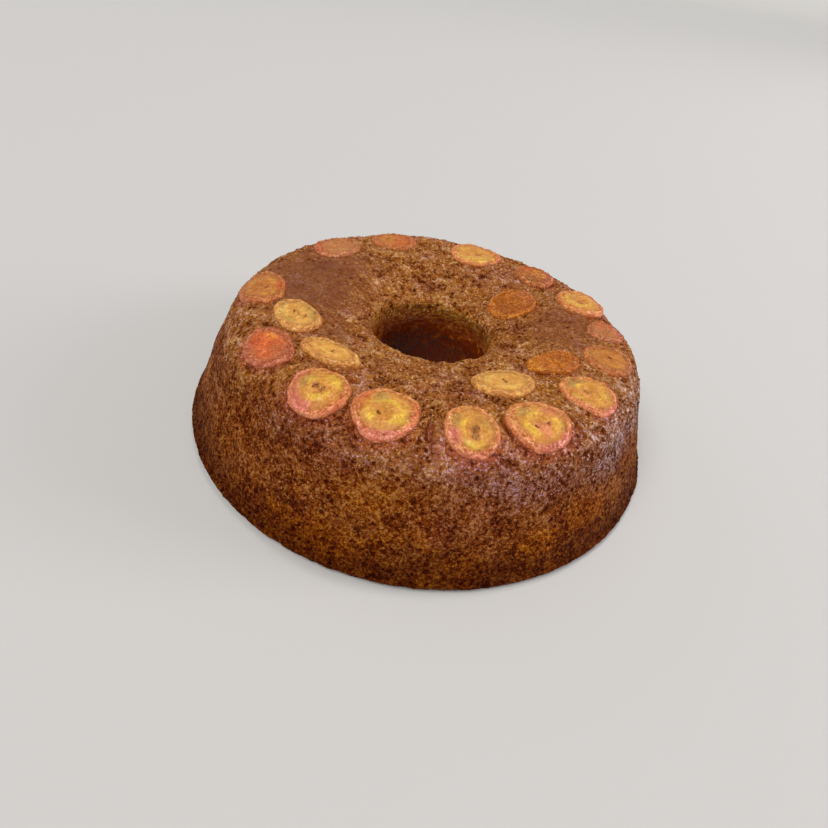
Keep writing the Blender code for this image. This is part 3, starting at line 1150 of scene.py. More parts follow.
FRUIT_FINISHES = {
    Tone.GOLDEN: FruitFinish(
        slot="banana_golden", flesh=(0.600, 0.262, 0.038), rim=(0.660, 0.235, 0.052),
        yellow=(0.740, 0.455, 0.046), olive=(0.470, 0.260, 0.058), brown=(0.270, 0.085, 0.018),
        red=(0.600, 0.120, 0.016), pink=(0.670, 0.182, 0.118),
    ),
    Tone.HONEY: FruitFinish(
        slot="banana_golden", flesh=(0.650, 0.310, 0.052), rim=(0.640, 0.285, 0.058),
        yellow=(0.760, 0.470, 0.090), olive=(0.430, 0.255, 0.046), brown=(0.330, 0.120, 0.020),
        red=(0.560, 0.150, 0.020), pink=(0.500, 0.150, 0.050),
    ),
    Tone.ORANGE: FruitFinish(
        slot="banana_orange", shine=0.24, flesh=(0.475, 0.164, 0.022), rim=(0.480, 0.150, 0.030),
        yellow=(0.560, 0.260, 0.034), olive=(0.400, 0.180, 0.032), brown=(0.240, 0.068, 0.012),
        red=(0.560, 0.105, 0.017), pink=(0.460, 0.105, 0.052),
    ),
    Tone.AMBER: FruitFinish(
        slot="banana_orange", shine=0.14, flesh=(0.470, 0.136, 0.008), rim=(0.480, 0.140, 0.012),
        yellow=(0.640, 0.250, 0.016), olive=(0.400, 0.140, 0.020), brown=(0.260, 0.058, 0.004),
        red=(0.500, 0.100, 0.010), pink=(0.440, 0.115, 0.035),
    ),
    Tone.PEACH: FruitFinish(
        slot="banana_orange", flesh=(0.450, 0.160, 0.038), rim=(0.450, 0.140, 0.036),
        yellow=(0.520, 0.220, 0.040), olive=(0.360, 0.145, 0.036), brown=(0.260, 0.080, 0.020),
        red=(0.520, 0.105, 0.020), pink=(0.500, 0.115, 0.055),
    ),
    Tone.RED: FruitFinish(
        slot="banana_red", flesh=(0.490, 0.118, 0.026), rim=(0.440, 0.112, 0.038),
        yellow=(0.780, 0.260, 0.036), olive=(0.340, 0.100, 0.030), brown=(0.440, 0.058, 0.006),
        red=(0.640, 0.118, 0.016), pink=(0.510, 0.122, 0.056),
    ),
}


@dataclass(frozen=True)
class SliceShape:
    """How finely a slice is meshed, its relief, and the rule of its outline, which its solid shares."""

    sunk: float = 0.0036
    squareness: float = 0.45
    flatness: float = 0.42
    waves: tuple[tuple[int, float], ...] = ((2, 0.015), (3, 0.020), (5, 0.012))
    slice_phase: float = 2.4
    wave_phase: float = 1.7
    spokes: int = 184
    face_rings: int = 38
    edge_rings: int = 10
    back_reaches: tuple[float, ...] = (0.97, 0.86, 0.5)
    face_reach: float = 0.88
    seed_depth: float = 0.00032
    own_shifts: Triple = (3.7, 5.3, 7.1)
    fibre_ring: float = 2.2
    fibre_run: float = 0.55
    fold_ring: float = 1.9
    fold_run: float = 5.6
    fold_size: float = 0.5
    fold_warp: Bumps = Bumps(2.4 * MM, 0.5)
    wave_size: float = 3.2 * MM
    lump_size: float = 1.5 * MM
    crag_size: float = 0.9 * MM
    hollow_depth: float = 0.00042
    core_depth: float = 0.00022
    yellow_rise: float = 0.00026
    wave_rise: float = 0.00024
    fibre_rise: float = 0.00012
    crease_rise: Pair = (0.00008, 0.00026)
    lump_rise: Pair = (0.00010, 0.00040)
    crag_rise: Pair = (0.00007, 0.00030)
    rim_rise: Triple = (0.00042, 0.00022, 0.00016)
    rim_bends: tuple[Bumps, Bumps] = (Bumps(6.0 * MM, 0.036), Bumps(2.8 * MM, 0.026))
    rim_lumps: Pair = (0.006, 0.030)

    def polar_grid(self) -> tuple[np.ndarray, np.ndarray]:
        """Each vertex's angle from the face's middle and its angle round, the two poles last."""
        face = np.linspace(0.0, self.face_reach, self.face_rings + 1)[1:]
        face_polar = np.arcsin(face ** (1 / self.squareness))
        edge_polar = np.linspace(face_polar[-1], RIGHT_ANGLE, self.edge_rings + 1)[1:]
        back_polar = math.pi - np.arcsin(np.array(self.back_reaches) ** (1 / self.squareness))
        polar = np.concatenate([face_polar, edge_polar, back_polar])
        polar, angle = (grid.ravel() for grid in np.meshgrid(polar, round_steps(self.spokes), indexing="ij"))
        return np.concatenate([polar, [0.0, math.pi]]), np.concatenate([angle, [0.0, 0.0]])

    def faces(self, count: int) -> list[list[int]]:
        """The faces of the polar grid, with a fan at either pole.

        Args:
            count: the number of vertices, the two poles last.

        Returns:
            The vertices of each face.
        """
        face_pole, back_pole, last = count - 2, count - 1, count - 2 - self.spokes
        steps = list(zip(range(self.spokes), [*range(1, self.spokes), 0]))
        faces = [[face_pole, near, far] for near, far in steps]
        for low in range(0, last, self.spokes):
            faces += band(low, low + self.spokes, self.spokes)
        return faces + [[back_pole, last + far, last + near] for near, far in steps]


SHAPE = SliceShape()


@dataclass(frozen=True)
class BananaSlice:
    """One banana slice: its place and outline, as in the solids, and its looks."""

    number: int
    bearing: float
    distance: float
    width: float
    depth: float
    turn: float
    height: float
    tone: Tone
    blush: float
    ragged: float

    @property
    def marks(self) -> tuple[Mark, ...]:
        """The marks on its face."""
        return tuple(Mark(pulp, *row) for pulp, rows in MARKS[self.number].items() for row in rows)

    @property
    def name(self) -> str:
        """The name of the solid, which the piece carries on."""
        return f"banana_slice_{self.number:02d}"

    def outline(self, angle: np.ndarray) -> np.ndarray:
        """How far the rim lies out at an angle, against a true round."""
        factor = np.ones_like(angle)
        for order, (waves, tall) in enumerate(SHAPE.waves):
            phase = SHAPE.slice_phase * self.number + SHAPE.wave_phase * order
            factor += tall * np.sin(waves * angle + phase)
        return factor

    def reach_of(self, bearing: np.ndarray, way: np.ndarray) -> tuple[np.ndarray, np.ndarray]:
        """Where places of the ring lie against the slice.

        Args:
            bearing: bearings in radians.
            way: distances over the surface.

        Returns:
            The reach of each, which is 1 on the rim, and its angle round the slice.
        """
        turned = bearing - math.radians(self.bearing)
        round_way, out_way = way * np.sin(turned), way * np.cos(turned) - self.distance
        cos, sin = math.cos(math.radians(self.turn)), math.sin(math.radians(self.turn))
        wide = (round_way * cos + out_way * sin) / (self.width / 2)
        deep = (out_way * cos - round_way * sin) / (self.depth / 2)
        angle = np.arctan2(deep, wide)
        return np.hypot(wide, deep) / self.outline(angle), angle

    def placed(self, form: RingForm, reach: np.ndarray, angle: np.ndarray, height: np.ndarray) -> np.ndarray:
        """Points of the slice.

        Args:
            form: the ring's form.
            reach: shares of the way out to the rim.
            angle: angles round the slice.
            height: heights above the crumb.

        Returns:
            One row for each point.
        """
        wide = self.width / 2 * reach * self.outline(angle) * np.cos(angle)
        deep = self.depth / 2 * reach * self.outline(angle) * np.sin(angle)
        turn = math.radians(self.turn)
        round_way = wide * math.cos(turn) - deep * math.sin(turn)
        out_way = wide * math.sin(turn) + deep * math.cos(turn)
        way = np.hypot(self.distance + out_way, round_way)
        bearing = math.radians(self.bearing) + np.arctan2(round_way, self.distance + out_way)
        return form.placed(bearing, way, height)

    def pulp(self, reach: np.ndarray, angle: np.ndarray, wobble: np.ndarray) -> dict[Pulp, np.ndarray]:
        """Where each kind of mark shows, as masks from 0 to 1."""
        shown = {pulp: np.zeros_like(reach) for pulp in Pulp}
        for mark in self.marks:
            shown[mark.pulp] = np.maximum(shown[mark.pulp], mark.share(reach, angle, wobble))
        return shown

    def roughened(self, plain: float, ragged: float) -> float:
        """An amount that grows with how ragged the slice is."""
        return plain + ragged * self.ragged

    def mesh(self, form: RingForm, material: bpy.types.Material) -> bpy.types.Mesh:
        """The slice as one closed mesh with the masks that its material reads."""
        polar, angle = SHAPE.polar_grid()
        reach = np.maximum(np.sin(polar), 0.0) ** SHAPE.squareness
        flat = np.cos(polar)
        level = np.where(np.abs(flat) < 1e-6, 0.0, np.sign(flat) * np.abs(flat) ** SHAPE.flatness)
        height = (self.height - SHAPE.sunk) / 2 + level * (self.height + SHAPE.sunk) / 2
        place_shift, fibre_shift, fold_shift = (shift * self.number for shift in SHAPE.own_shifts)
        local = around(reach, angle, place_shift)
        local[:, :2] *= np.array([self.width, self.depth]) / 2
        fibre = around(SHAPE.fibre_ring, angle, SHAPE.fibre_run * reach + fibre_shift)
        folds = around(SHAPE.fold_ring, angle, SHAPE.fold_run * reach + fold_shift)
        warp = SHAPE.fold_warp.height * noise_at(local, SHAPE.fold_warp.size, 1.3)
        crease = noise_at(folds + warp[:, None], SHAPE.fold_size)
        wave = noise_at(local, SHAPE.wave_size)
        lump = noise_at(local, SHAPE.lump_size, 9.1)
        crag = noise_at(local, SHAPE.crag_size, 4.3)
        pulp = self.pulp(reach, angle, wave)
        hollow = np.maximum(pulp[OLIVE], 0.7 * pulp[BROWN])
        crease_rise, crease_more = SHAPE.crease_rise
        rim_rise, rim_crag, rim_wave = SHAPE.rim_rise
        height += rise(-0.2, 0.75, level) * (
            -SHAPE.hollow_depth * hollow
            + SHAPE.yellow_rise * pulp[YELLOW]
            + SHAPE.wave_rise * wave
            + SHAPE.fibre_rise * noise_at(fibre, SHAPE.fold_size)
            + (crease_rise + crease_more * rise(0.50, 0.78, reach)) * crease * (0.9 + 0.7 * wave)
            + self.roughened(*SHAPE.lump_rise) * lump
            + self.roughened(*SHAPE.crag_rise) * crag
            + (rim_rise + rim_crag * crag + rim_wave * wave) * rise(0.62, 0.84, reach)
            * rise(1.02, 0.9, reach)
            - SHAPE.core_depth * rise(0.40, 0.0, reach)
        )
        rim = rise(0.5, 0.95, reach) * (level > -0.5)
        wide, close = SHAPE.rim_bends
        sway = wide.height * noise_at(local, wide.size, 6.4) + close.height * noise_at(local, close.size, 2.2)
        reach_out = reach * (1.0 + rim * (sway + self.roughened(*SHAPE.rim_lumps) * lump))
        points = self.placed(form, reach_out, angle, height)
        mesh = new_mesh(self.name, points, SHAPE.faces(len(points)), material)
        side = 1.0 + 0.5 * rise(0.6, -0.2, level)
        outside = 0.5 + 0.5 * np.sin(angle)
        stain = rise(0.66, 1.02, reach * side + 0.06 * lump) * (0.20 + 0.80 * outside)
        pulp[PINK] = np.maximum(pulp[PINK], np.clip(self.blush * stain, 0.0, 1.0))
        add_attributes(mesh, {kind.value: values for kind, values in pulp.items()})
        ragged = np.full_like(reach, self.ragged)
        add_attributes(mesh, {"reach": reach * side, "ragged": ragged, "crease": crease, "fibre": fibre})
        return mesh


# angle, reach, half its length and half its width, and strength, by the slice's number
MARKS = {
    1: {
        YELLOW: ((225, 0.45, 0.22, 0.15, 0.70), (118, 0.45, 0.22, 0.16, 0.60), (325, 0.60, 0.35, 0.10, 0.50)),
        RED: ((258, 0.72, 0.26, 0.20, 0.85),),
        BROWN: ((290, 0.22, 0.16, 0.05, 0.60),),
    },
    2: {
        OLIVE: ((262, 0.60, 0.42, 0.20, 0.80), (62, 0.55, 0.32, 0.14, 0.75)),
        YELLOW: ((120, 0.62, 0.40, 0.16, 0.70), (20, 0.26, 0.17, 0.09), (240, 0.27, 0.14, 0.07, 0.80)),
        BROWN: ((130, 0.20, 0.14, 0.06, 0.90), (310, 0.30, 0.26, 0.06, 0.80)),
    },
    3: {
        RED: ((165, 0.30, 0.58, 0.46), (60, 0.45, 0.45, 0.25, 0.60)),
        BROWN: ((135, 0.50, 0.16, 0.18, 0.55),),
        YELLOW: ((222, 0.44, 0.22, 0.17, 0.85),),
    },
    4: {
        YELLOW: ((60, 0.28, 0.55, 0.13, 0.50), (330, 0.50, 0.40, 0.14, 0.35)),
        RED: ((165, 0.85, 0.40, 0.24, 0.40),),
        BROWN: ((10, 0.05, 0.16, 0.05, 0.60),),
    },
    5: {
        OLIVE: ((182, 0.52, 0.30, 0.18, 0.90),),
        YELLOW: ((205, 0.38, 0.22, 0.09, 0.75), (290, 0.60, 0.34, 0.20, 0.80), (52, 0.34, 0.38, 0.12, 0.90)),
        BROWN: ((195, 0.14, 0.12, 0.12, 0.85), (350, 0.14, 0.14, 0.08, 0.70)),
        PINK: ((112, 0.76, 0.58, 0.24), (180, 0.84, 0.45, 0.16, 0.70)),
        RED: ((10, 0.85, 0.60, 0.16, 0.60),),
    },
    6: {
        OLIVE: ((236, 0.52, 0.26, 0.20, 0.90), (10, 0.70, 0.20, 0.10, 0.45)),
        YELLOW: ((283, 0.34, 0.36, 0.12), (22, 0.55, 0.28, 0.22), (140, 0.50, 0.26, 0.18, 0.65)),
        BROWN: ((128, 0.25, 0.09, 0.05, 0.80),),
        PINK: ((85, 0.86, 0.85, 0.18, 0.90),),
        RED: ((195, 0.80, 0.40, 0.20, 0.80), (350, 0.86, 0.45, 0.13, 0.60)),
    },
    7: {
        OLIVE: ((205, 0.60, 0.32, 0.17), (345, 0.52, 0.42, 0.20, 0.45), (122, 0.60, 0.20, 0.10, 0.70)),
        YELLOW: ((200, 0.36, 0.32, 0.10), (97, 0.58, 0.34, 0.12, 0.70)),
        BROWN: ((55, 0.13, 0.18, 0.13), (84, 0.34, 0.16, 0.12, 0.70)),
        PINK: ((155, 0.74, 0.28, 0.20), (80, 0.90, 0.70, 0.12, 0.75)),
    },
    8: {
        OLIVE: ((247, 0.60, 0.30, 0.16), (28, 0.62, 0.24, 0.10, 0.55)),
        YELLOW: ((243, 0.38, 0.28, 0.09), (150, 0.46, 0.34, 0.12, 0.90), (20, 0.50, 0.26, 0.16, 0.60)),
        BROWN: ((145, 0.26, 0.07, 0.05, 0.90), (30, 0.24, 0.06, 0.05, 0.90)),
        PINK: ((75, 0.86, 0.70, 0.18), (95, 0.30, 0.26, 0.30, 0.55), (330, 0.62, 0.30, 0.22, 0.50)),
    },
    9: {
        YELLOW: ((92, 0.48, 0.34, 0.12, 0.80), (230, 0.60, 0.40, 0.18, 0.40)),
        BROWN: ((0, 0.05, 0.15, 0.04, 0.50), (100, 0.10, 0.04, 0.12, 0.40)),
    },
    10: {
        OLIVE: ((275, 0.66, 0.36, 0.17), (60, 0.55, 0.26, 0.12, 0.60)),
        YELLOW: ((268, 0.43, 0.24, 0.08, 0.90), (182, 0.70, 0.34, 0.12, 0.80), (55, 0.40, 0.26, 0.14, 0.55)),
        BROWN: ((205, 0.18, 0.14, 0.07, 0.70),),
        PINK: ((100, 0.92, 0.45, 0.12, 0.90),),
    },
    11: {
        YELLOW: ((200, 0.85, 0.70, 0.22, 0.55),),
        BROWN: ((330, 0.30, 0.50, 0.22, 0.45),),
        PINK: ((60, 0.80, 0.45, 0.25, 0.60),),
    },
    12: {
        BROWN: ((20, 0.08, 0.09, 0.06, 0.80),),
        YELLOW: ((275, 0.55, 0.35, 0.25, 0.30), (120, 0.45, 0.40, 0.20, 0.25)),
    },
    13: {
        PINK: ((75, 0.70, 0.80, 0.35, 0.80),),
        RED: ((0, 0.60, 0.50, 0.30, 0.50),),
    },
    14: {
        YELLOW: ((280, 0.70, 0.40, 0.13, 0.90), (225, 0.50, 0.40, 0.10, 0.70), (150, 0.35, 0.20, 0.10, 0.50)),
        OLIVE: ((310, 0.42, 0.24, 0.12, 0.50),),
        BROWN: ((240, 0.22, 0.16, 0.05, 0.60),),
        RED: ((90, 0.88, 0.90, 0.20, 0.80),),
    },
    15: {
        BROWN: ((250, 0.45, 0.80, 0.40, 0.75), (70, 0.35, 0.60, 0.30, 0.35)),
        YELLOW: ((225, 0.90, 0.60, 0.15, 0.35),),
        PINK: ((100, 0.75, 0.60, 0.30, 0.60),),
        OLIVE: ((60, 0.40, 0.24, 0.14, 0.60),),
    },
    16: {
        RED: ((0, 0.60, 0.50, 0.35, 0.50),),
        BROWN: ((240, 0.50, 0.60, 0.30, 0.60),),
        PINK: ((135, 0.80, 0.60, 0.30, 0.80),),
    },
    17: {
        YELLOW: ((245, 0.72, 0.65, 0.20, 0.85), (5, 0.60, 0.22, 0.14, 0.50)),
        BROWN: ((240, 0.16, 0.22, 0.06, 0.70),),
        RED: ((175, 0.85, 0.45, 0.22, 0.70), (20, 0.90, 0.40, 0.15, 0.50)),
    },
    18: {
        RED: ((200, 0.50, 0.80, 0.40, 0.60),),
        PINK: ((180, 0.80, 0.30, 0.20, 0.50),),
    },
    19: {
        RED: ((20, 0.80, 0.55, 0.22, 0.70),),
        YELLOW: ((290, 0.50, 0.50, 0.22, 0.35),),
    },
}
# number, bearing, distance, width, depth, turn and height as in the solids, then tone, blush and ragged
FRUIT = tuple(
    BananaSlice(*row)
    for row in (
        (1, 184, 0.0862, 0.0310, 0.0245, 0, 0.0017, Tone.ORANGE, 0.50, 0.20),
        (2, 202.5, 0.0683, 0.0300, 0.0235, -8, 0.0016, Tone.HONEY, 0.10, 0.12),
        (3, 218.5, 0.0882, 0.0275, 0.0230, 0, 0.0013, Tone.RED, 0.60, 0.50),
        (4, 231, 0.0662, 0.0290, 0.0195, -20, 0.0017, Tone.HONEY, 0.10, 0.10),
        (5, 242, 0.0888, 0.0258, 0.0250, 0, 0.0016, Tone.GOLDEN, 0.60, 0.25),
        (6, 260, 0.0856, 0.0255, 0.0275, 0, 0.0017, Tone.GOLDEN, 0.60, 0.20),
        (7, 281.4, 0.0870, 0.0208, 0.0258, 0, 0.0015, Tone.GOLDEN, 0.65, 0.20),
        (8, 299.4, 0.0870, 0.0262, 0.0258, 0, 0.0015, Tone.GOLDEN, 0.65, 0.20),
        (9, 301.5, 0.0580, 0.0262, 0.0250, 0, 0.0018, Tone.HONEY, 0.00, 0.05),
        (10, 322, 0.0832, 0.0228, 0.0255, 0, 0.0015, Tone.GOLDEN, 0.55, 0.18),
        (11, 331.5, 0.0612, 0.0250, 0.0198, 25, 0.0020, Tone.AMBER, 0.10, 0.90),
        (12, 345, 0.0830, 0.0235, 0.0235, 0, 0.0014, Tone.ORANGE, 0.30, 0.05),
        (13, 4, 0.0840, 0.0195, 0.0190, 0, 0.0009, Tone.PEACH, 0.60, 0.40),
        (14, 23.5, 0.0825, 0.0280, 0.0262, 0, 0.0024, Tone.GOLDEN, 0.50, 0.25),
        (15, 37, 0.0490, 0.0252, 0.0232, 0, 0.0017, Tone.AMBER, 0.00, 0.90),
        (16, 48.5, 0.0768, 0.0255, 0.0205, 15, 0.0020, Tone.ORANGE, 0.50, 0.90),
        (17, 77, 0.0757, 0.0295, 0.0255, 0, 0.0020, Tone.GOLDEN, 0.40, 0.25),
        (18, 112, 0.0810, 0.0265, 0.0210, 0, 0.0010, Tone.ORANGE, 0.20, 0.40),
        (19, 138, 0.0800, 0.0278, 0.0220, 0, 0.0013, Tone.PEACH, 0.20, 0.25),
    )
)


@dataclass
class CrumbRing:
    """The cake itself, as four closed quarters of one open crumb."""

    form: RingForm
    row_step: float = 0.0005
    columns: int = 1440
    first_bearing: float = math.radians(-135)
    quarters: tuple[str, ...] = ("front", "right", "back", "left")
    half_columns_within: float = 0.070
    pocket_depth: float = 0.0040
    crevice_depth: float = 0.0005
    heap: float = 0.0008
    wobble_size: float = 7 * MM
    base_rows: tuple[tuple[float, int], ...] = ((0.0064, 2), (0.0300, 4))
    top_edge: Pair = (0.112, 0.094)
    lip_edge: Pair = (0.013, 0.002)
    amber_depths: Pair = (0.002, 0.008)
    wet_depths: Pair = (0.010, 0.017)
    jam_depths: Pair = (0.018, 0.027)
    foot_reach: float = 0.004
    # a reach is 0 in the middle of a slice and 1 at its edge
    farthest_reach: float = 1.8
    pocket_reaches: Pair = (0.975, 0.90)
    inside_reaches: Pair = (1.03, 0.97)
    seam_reaches: Pair = (1.14, 1.01)
    near_reaches: Pair = (1.22, 1.0)
    stain_reaches: Pair = (1.42, 1.0)
    rows: list[tuple[float, int]] = field(default_factory=list)
    relief: dict[str, Bumps] = field(default_factory=lambda: {
        "Lump": Bumps(0.0074, 0.00105),
        "Clump": Bumps(0.0042, 0.00070),
        "Pore": Bumps(0.0030, 0.00070),
        "Grain": Bumps(0.0016, 0.00036),
        "Pit": Bumps(0.0056, 0.00140),
    })

    def __post_init__(self) -> None:
        """Works out each row's distance over the surface and its number of columns."""
        form = self.form
        bands = (
            (form.hole_foot, form.lip_top, self.columns // 4),
            (form.lip_top, self.half_columns_within, self.columns // 2),
            (self.half_columns_within, form.foot_end, self.columns),
        )
        for start, end, columns in bands:
            steps = round((end - start) / self.row_step)
            self.rows += [(start + (end - start) * step / steps, columns) for step in range(steps)]
        self.rows.append((form.foot_end, self.columns))
        self.rows += [(form.foot_end + along, self.columns // share) for along, share in self.base_rows]

    def fields(self, bearing: np.ndarray, way: np.ndarray) -> dict[str, np.ndarray]:
        """What the surface is like at each place.

        Args:
            bearing: bearings in radians.
            way: distances over the surface.

        Returns:
            Masks from 0 to 1 by name, and drop, the depth of pockets, crevices and pits in metres.
        """
        form, lip, calm_reach = self.form, self.form.lip_top, self.foot_reach

        def below_lip(depths: Pair) -> np.ndarray:
            """Runs from 0 to 1 between two distances below the lip."""
            return rise(lip - depths[0], lip - depths[1], way)

        wobble = noise_at(around(way, bearing, 0.0), self.wobble_size)
        drop, inside, near, blush, heap = (np.zeros_like(way) for _ in range(5))
        for banana in FRUIT:
            reach, angle = banana.reach_of(bearing, way)
            close = (reach < self.farthest_reach) & (way > lip)
            seam = rise(*self.seam_reaches, reach)
            pocket = self.pocket_depth * rise(*self.pocket_reaches, reach)
            crevice = self.crevice_depth * seam * rise(0.0, 0.5, wobble)
            stain = banana.blush * rise(*self.stain_reaches, reach) * rise(-0.2, 0.7, np.sin(angle))
            drop = np.maximum(drop, close * np.maximum(pocket, crevice))
            heap = np.maximum(heap, close * self.heap * seam * rise(0.1, -0.4, wobble))
            inside = np.maximum(inside, close * rise(*self.inside_reaches, reach))
            near = np.maximum(near, close * rise(*self.near_reaches, reach))
            blush = np.maximum(blush, close * stain)
        shares = {kind: np.zeros_like(way) for kind in PatchKind}
        for patch in PATCHES:
            share = patch.share(bearing, way, wobble)
            shares[patch.kind] = np.maximum(shares[patch.kind], share)
            drop = np.maximum(drop, patch.depth * share)
        top = rise(*self.top_edge, way) * below_lip(self.lip_edge)
        smooth = np.clip(shares[PatchKind.SKIN] + 0.75 * shares[PatchKind.CLOSED], 0.0, 1.0)
        coarse = (0.16 + 0.54 * top + 0.30 * shares[PatchKind.TORN]) * (1.0 - 0.80 * smooth)
        stands = rise(form.foot_end, form.foot_end - calm_reach, way)
        stands = stands * rise(form.hole_foot, form.hole_foot + calm_reach, way)
        bare = 1.0 - below_lip(self.jam_depths)
        wet = 0.65 * below_lip(self.wet_depths)
        open_crumb = (1.0 - inside) * stands
        return {
            "drop": drop - heap * (1.0 - inside),
            "loose": open_crumb,
            "coarse": coarse,
            "skin": shares[PatchKind.SKIN] * (1.0 - inside),
            # syrup near the slices is partly syrup stain and partly painted shade where the crumb meets them
            "syrup": np.clip(shares[PatchKind.PIT] + 0.45 * near * rise(-0.1, 0.6, wobble) + wet, 0.0, 1.0),
            "blush": blush * (1.0 - inside),
            # glaze: wet crumb that also takes a painted reflection of the window light
            "glaze": shares[PatchKind.GLAZE],
            "amber": np.maximum(shares[PatchKind.AMBER], 0.4 * below_lip(self.amber_depths)),
            "dusk": shares[PatchKind.DUSK],
            "shade": shares[PatchKind.PALE] - shares[PatchKind.SOAKED],
            "big_crumbs": open_crumb * (0.05 + 0.95 * top) * (1.0 - smooth) * bare,
            "small_crumbs": open_crumb * (1.0 - 0.95 * smooth) * bare,
        }

    def relief_recipe(self) -> Builder:
        """The Geometry Nodes tree that opens the crumb: clumps, lumps, pores, grain and pits."""
        tree = Builder("torn crumb relief", {f"{label} Height": float for label in self.relief})
        given, place, coarse = tree.given, tree.place(), tree.stored("coarse")
        size = {label: bumps.size for label, bumps in self.relief.items()}
        bent = tree.warped(place, 1.9 * MM, 1.9 * MM)
        clump, _ = tree.cells(bent, size["Clump"])
        pore, own = tree.cells(bent, size["Pore"])
        lump = tree.spread(tree.noise(place, size["Lump"], 1.5), 0.2, 0.8, -1.0, 1.0)
        clump = tree.spread(tree.math("POWER", clump, 2.5), 0.0, 0.45, 0.35, -1.0)
        pore = tree.times(tree.ramp(pore, 0.46, 0.12), tree.ramp(own, 0.40, 0.70))
        grain = tree.spread(tree.noise(place, size["Grain"], 2.0, 0.6), 0.25, 0.75, -1.0, 1.0)
        pit = tree.ramp(tree.noise(place, size["Pit"], 1.0), 0.58, 0.74)
        whole = tree.total(
            tree.times(lump, coarse, given["Lump Height"]),
            tree.times(clump, coarse, given["Clump Height"]),
            tree.times(pore, given["Pore Height"], -1.0, tree.total(tree.times(coarse, 0.9), 0.30)),
            tree.times(grain, given["Grain Height"], tree.total(tree.times(coarse, 0.8), 0.35)),
            tree.times(pit, given["Pit Height"], coarse, -1.0),
        )
        whole = tree.times(whole, tree.stored("loose"))
        named = tree.store(given["Geometry"], "rest_place", place, "FLOAT_VECTOR")
        named = tree.store(named, "relief", tree.times(whole, 1 / MM))
        moved = tree.moved(named, tree.vector("SCALE", tree.stored("outward", "FLOAT_VECTOR"), whole))
        tree.put_out(tree.real(moved))
        return tree

    def build(self, material: bpy.types.Material) -> list[bpy.types.Object]:
        """Builds the four quarters.

        Args:
            material: the crumb's material.

        Returns:
            The quarters.
        """
        counts = np.array([columns for _, columns in self.rows])
        starts = np.concatenate([[0], np.cumsum(counts)])
        way = np.repeat([distance for distance, _ in self.rows], counts)
        column = np.arange(starts[-1]) - np.repeat(starts[:-1], counts)
        bearing = self.first_bearing + column * FULL_TURN / np.repeat(counts, counts)
        stored = self.fields(bearing, way)
        points = self.form.placed(bearing, way, -stored.pop("drop"))
        _, _, out, up = self.form.section(way)
        stored["outward"] = around(out, bearing, up)
        relief = self.relief_recipe()
        heights = {f"{label}_Height": bumps.height for label, bumps in self.relief.items()}
        made = []
        for order, quarter in enumerate(self.quarters):
            pick = np.concatenate([
                start + (order * count // 4 + np.arange(count // 4 + 1)) % count
                for start, count in zip(starts[:-1], counts)
            ])
            rough = self.quarter_mesh(points[pick], counts // 4 + 1)
            add_attributes(rough, {name: values[pick] for name, values in stored.items()})
            mesh = relief.made_from(rough, f"crumb_{quarter}", Material=material, **heights)
            made.append(add_piece(f"crumb_{quarter}", mesh, "crumb", [RING_NODE]))
        return made

    def quarter_mesh(self, points: np.ndarray, counts: np.ndarray) -> bpy.types.Mesh:
        """One quarter as a closed mesh, with a bake map that follows its rows and columns.

        Args:
            points: its vertices, row by row.
            counts: how many lie in each row.

        Returns:
            The mesh, smooth but for the edges of its two cut ends.
        """
        starts = np.concatenate([[0], np.cumsum(counts)])
        rows = len(counts)
        faces, places = [], []
        for row in range(rows):
            after = (row + 1) % rows
            low, high = starts[row], starts[after]
            few = min(counts[row], counts[after]) - 1
            step_low, step_high = (counts[row] - 1) // few, (counts[after] - 1) // few
            near, far = np.arange(few), np.arange(1, few + 1)
            loop = [low + near * step_low, high + near * step_high]
            spots = [(near / few, row), (near / few, row + 1)]
            if step_high == 2:
                loop.append(high + near * 2 + 1)
                spots.append(((near + 0.5) / few, row + 1))
            loop += [high + far * step_high, low + far * step_low]
            spots += [(far / few, row + 1), (far / few, row)]
            if step_low == 2:
                loop.append(low + near * 2 + 1)
                spots.append(((near + 0.5) / few, row))
            faces += np.stack(loop, 1).tolist()
            across = np.stack([spot[0] for spot in spots], 1)
            along = np.broadcast_to([spot[1] / rows for spot in spots], across.shape)
            places.append(np.stack([across * 0.98 + 0.01, along * 0.78 + 0.01], 2).reshape(-1, 2))
        for side, ends in enumerate((starts[:-1][::-1], starts[1:] - 1)):
            faces.append(ends.tolist())
            radius, level = np.hypot(*points[ends, :2].T), points[ends, 2]
            places.append(np.stack([0.02 + 0.5 * side + radius * 3.6, 0.82 + level * 2.4], 1))
        mesh = new_mesh("rough_quarter", points, faces)
        add_bake_map(mesh, np.concatenate(places))
        sharp = mesh.attributes.new("sharp_edge", "BOOLEAN", "EDGE")
        for polygon in list(mesh.polygons)[-2:]:
            for corner in polygon.loop_indices:
                sharp.data[mesh.loops[corner].edge_index].value = True
        return mesh


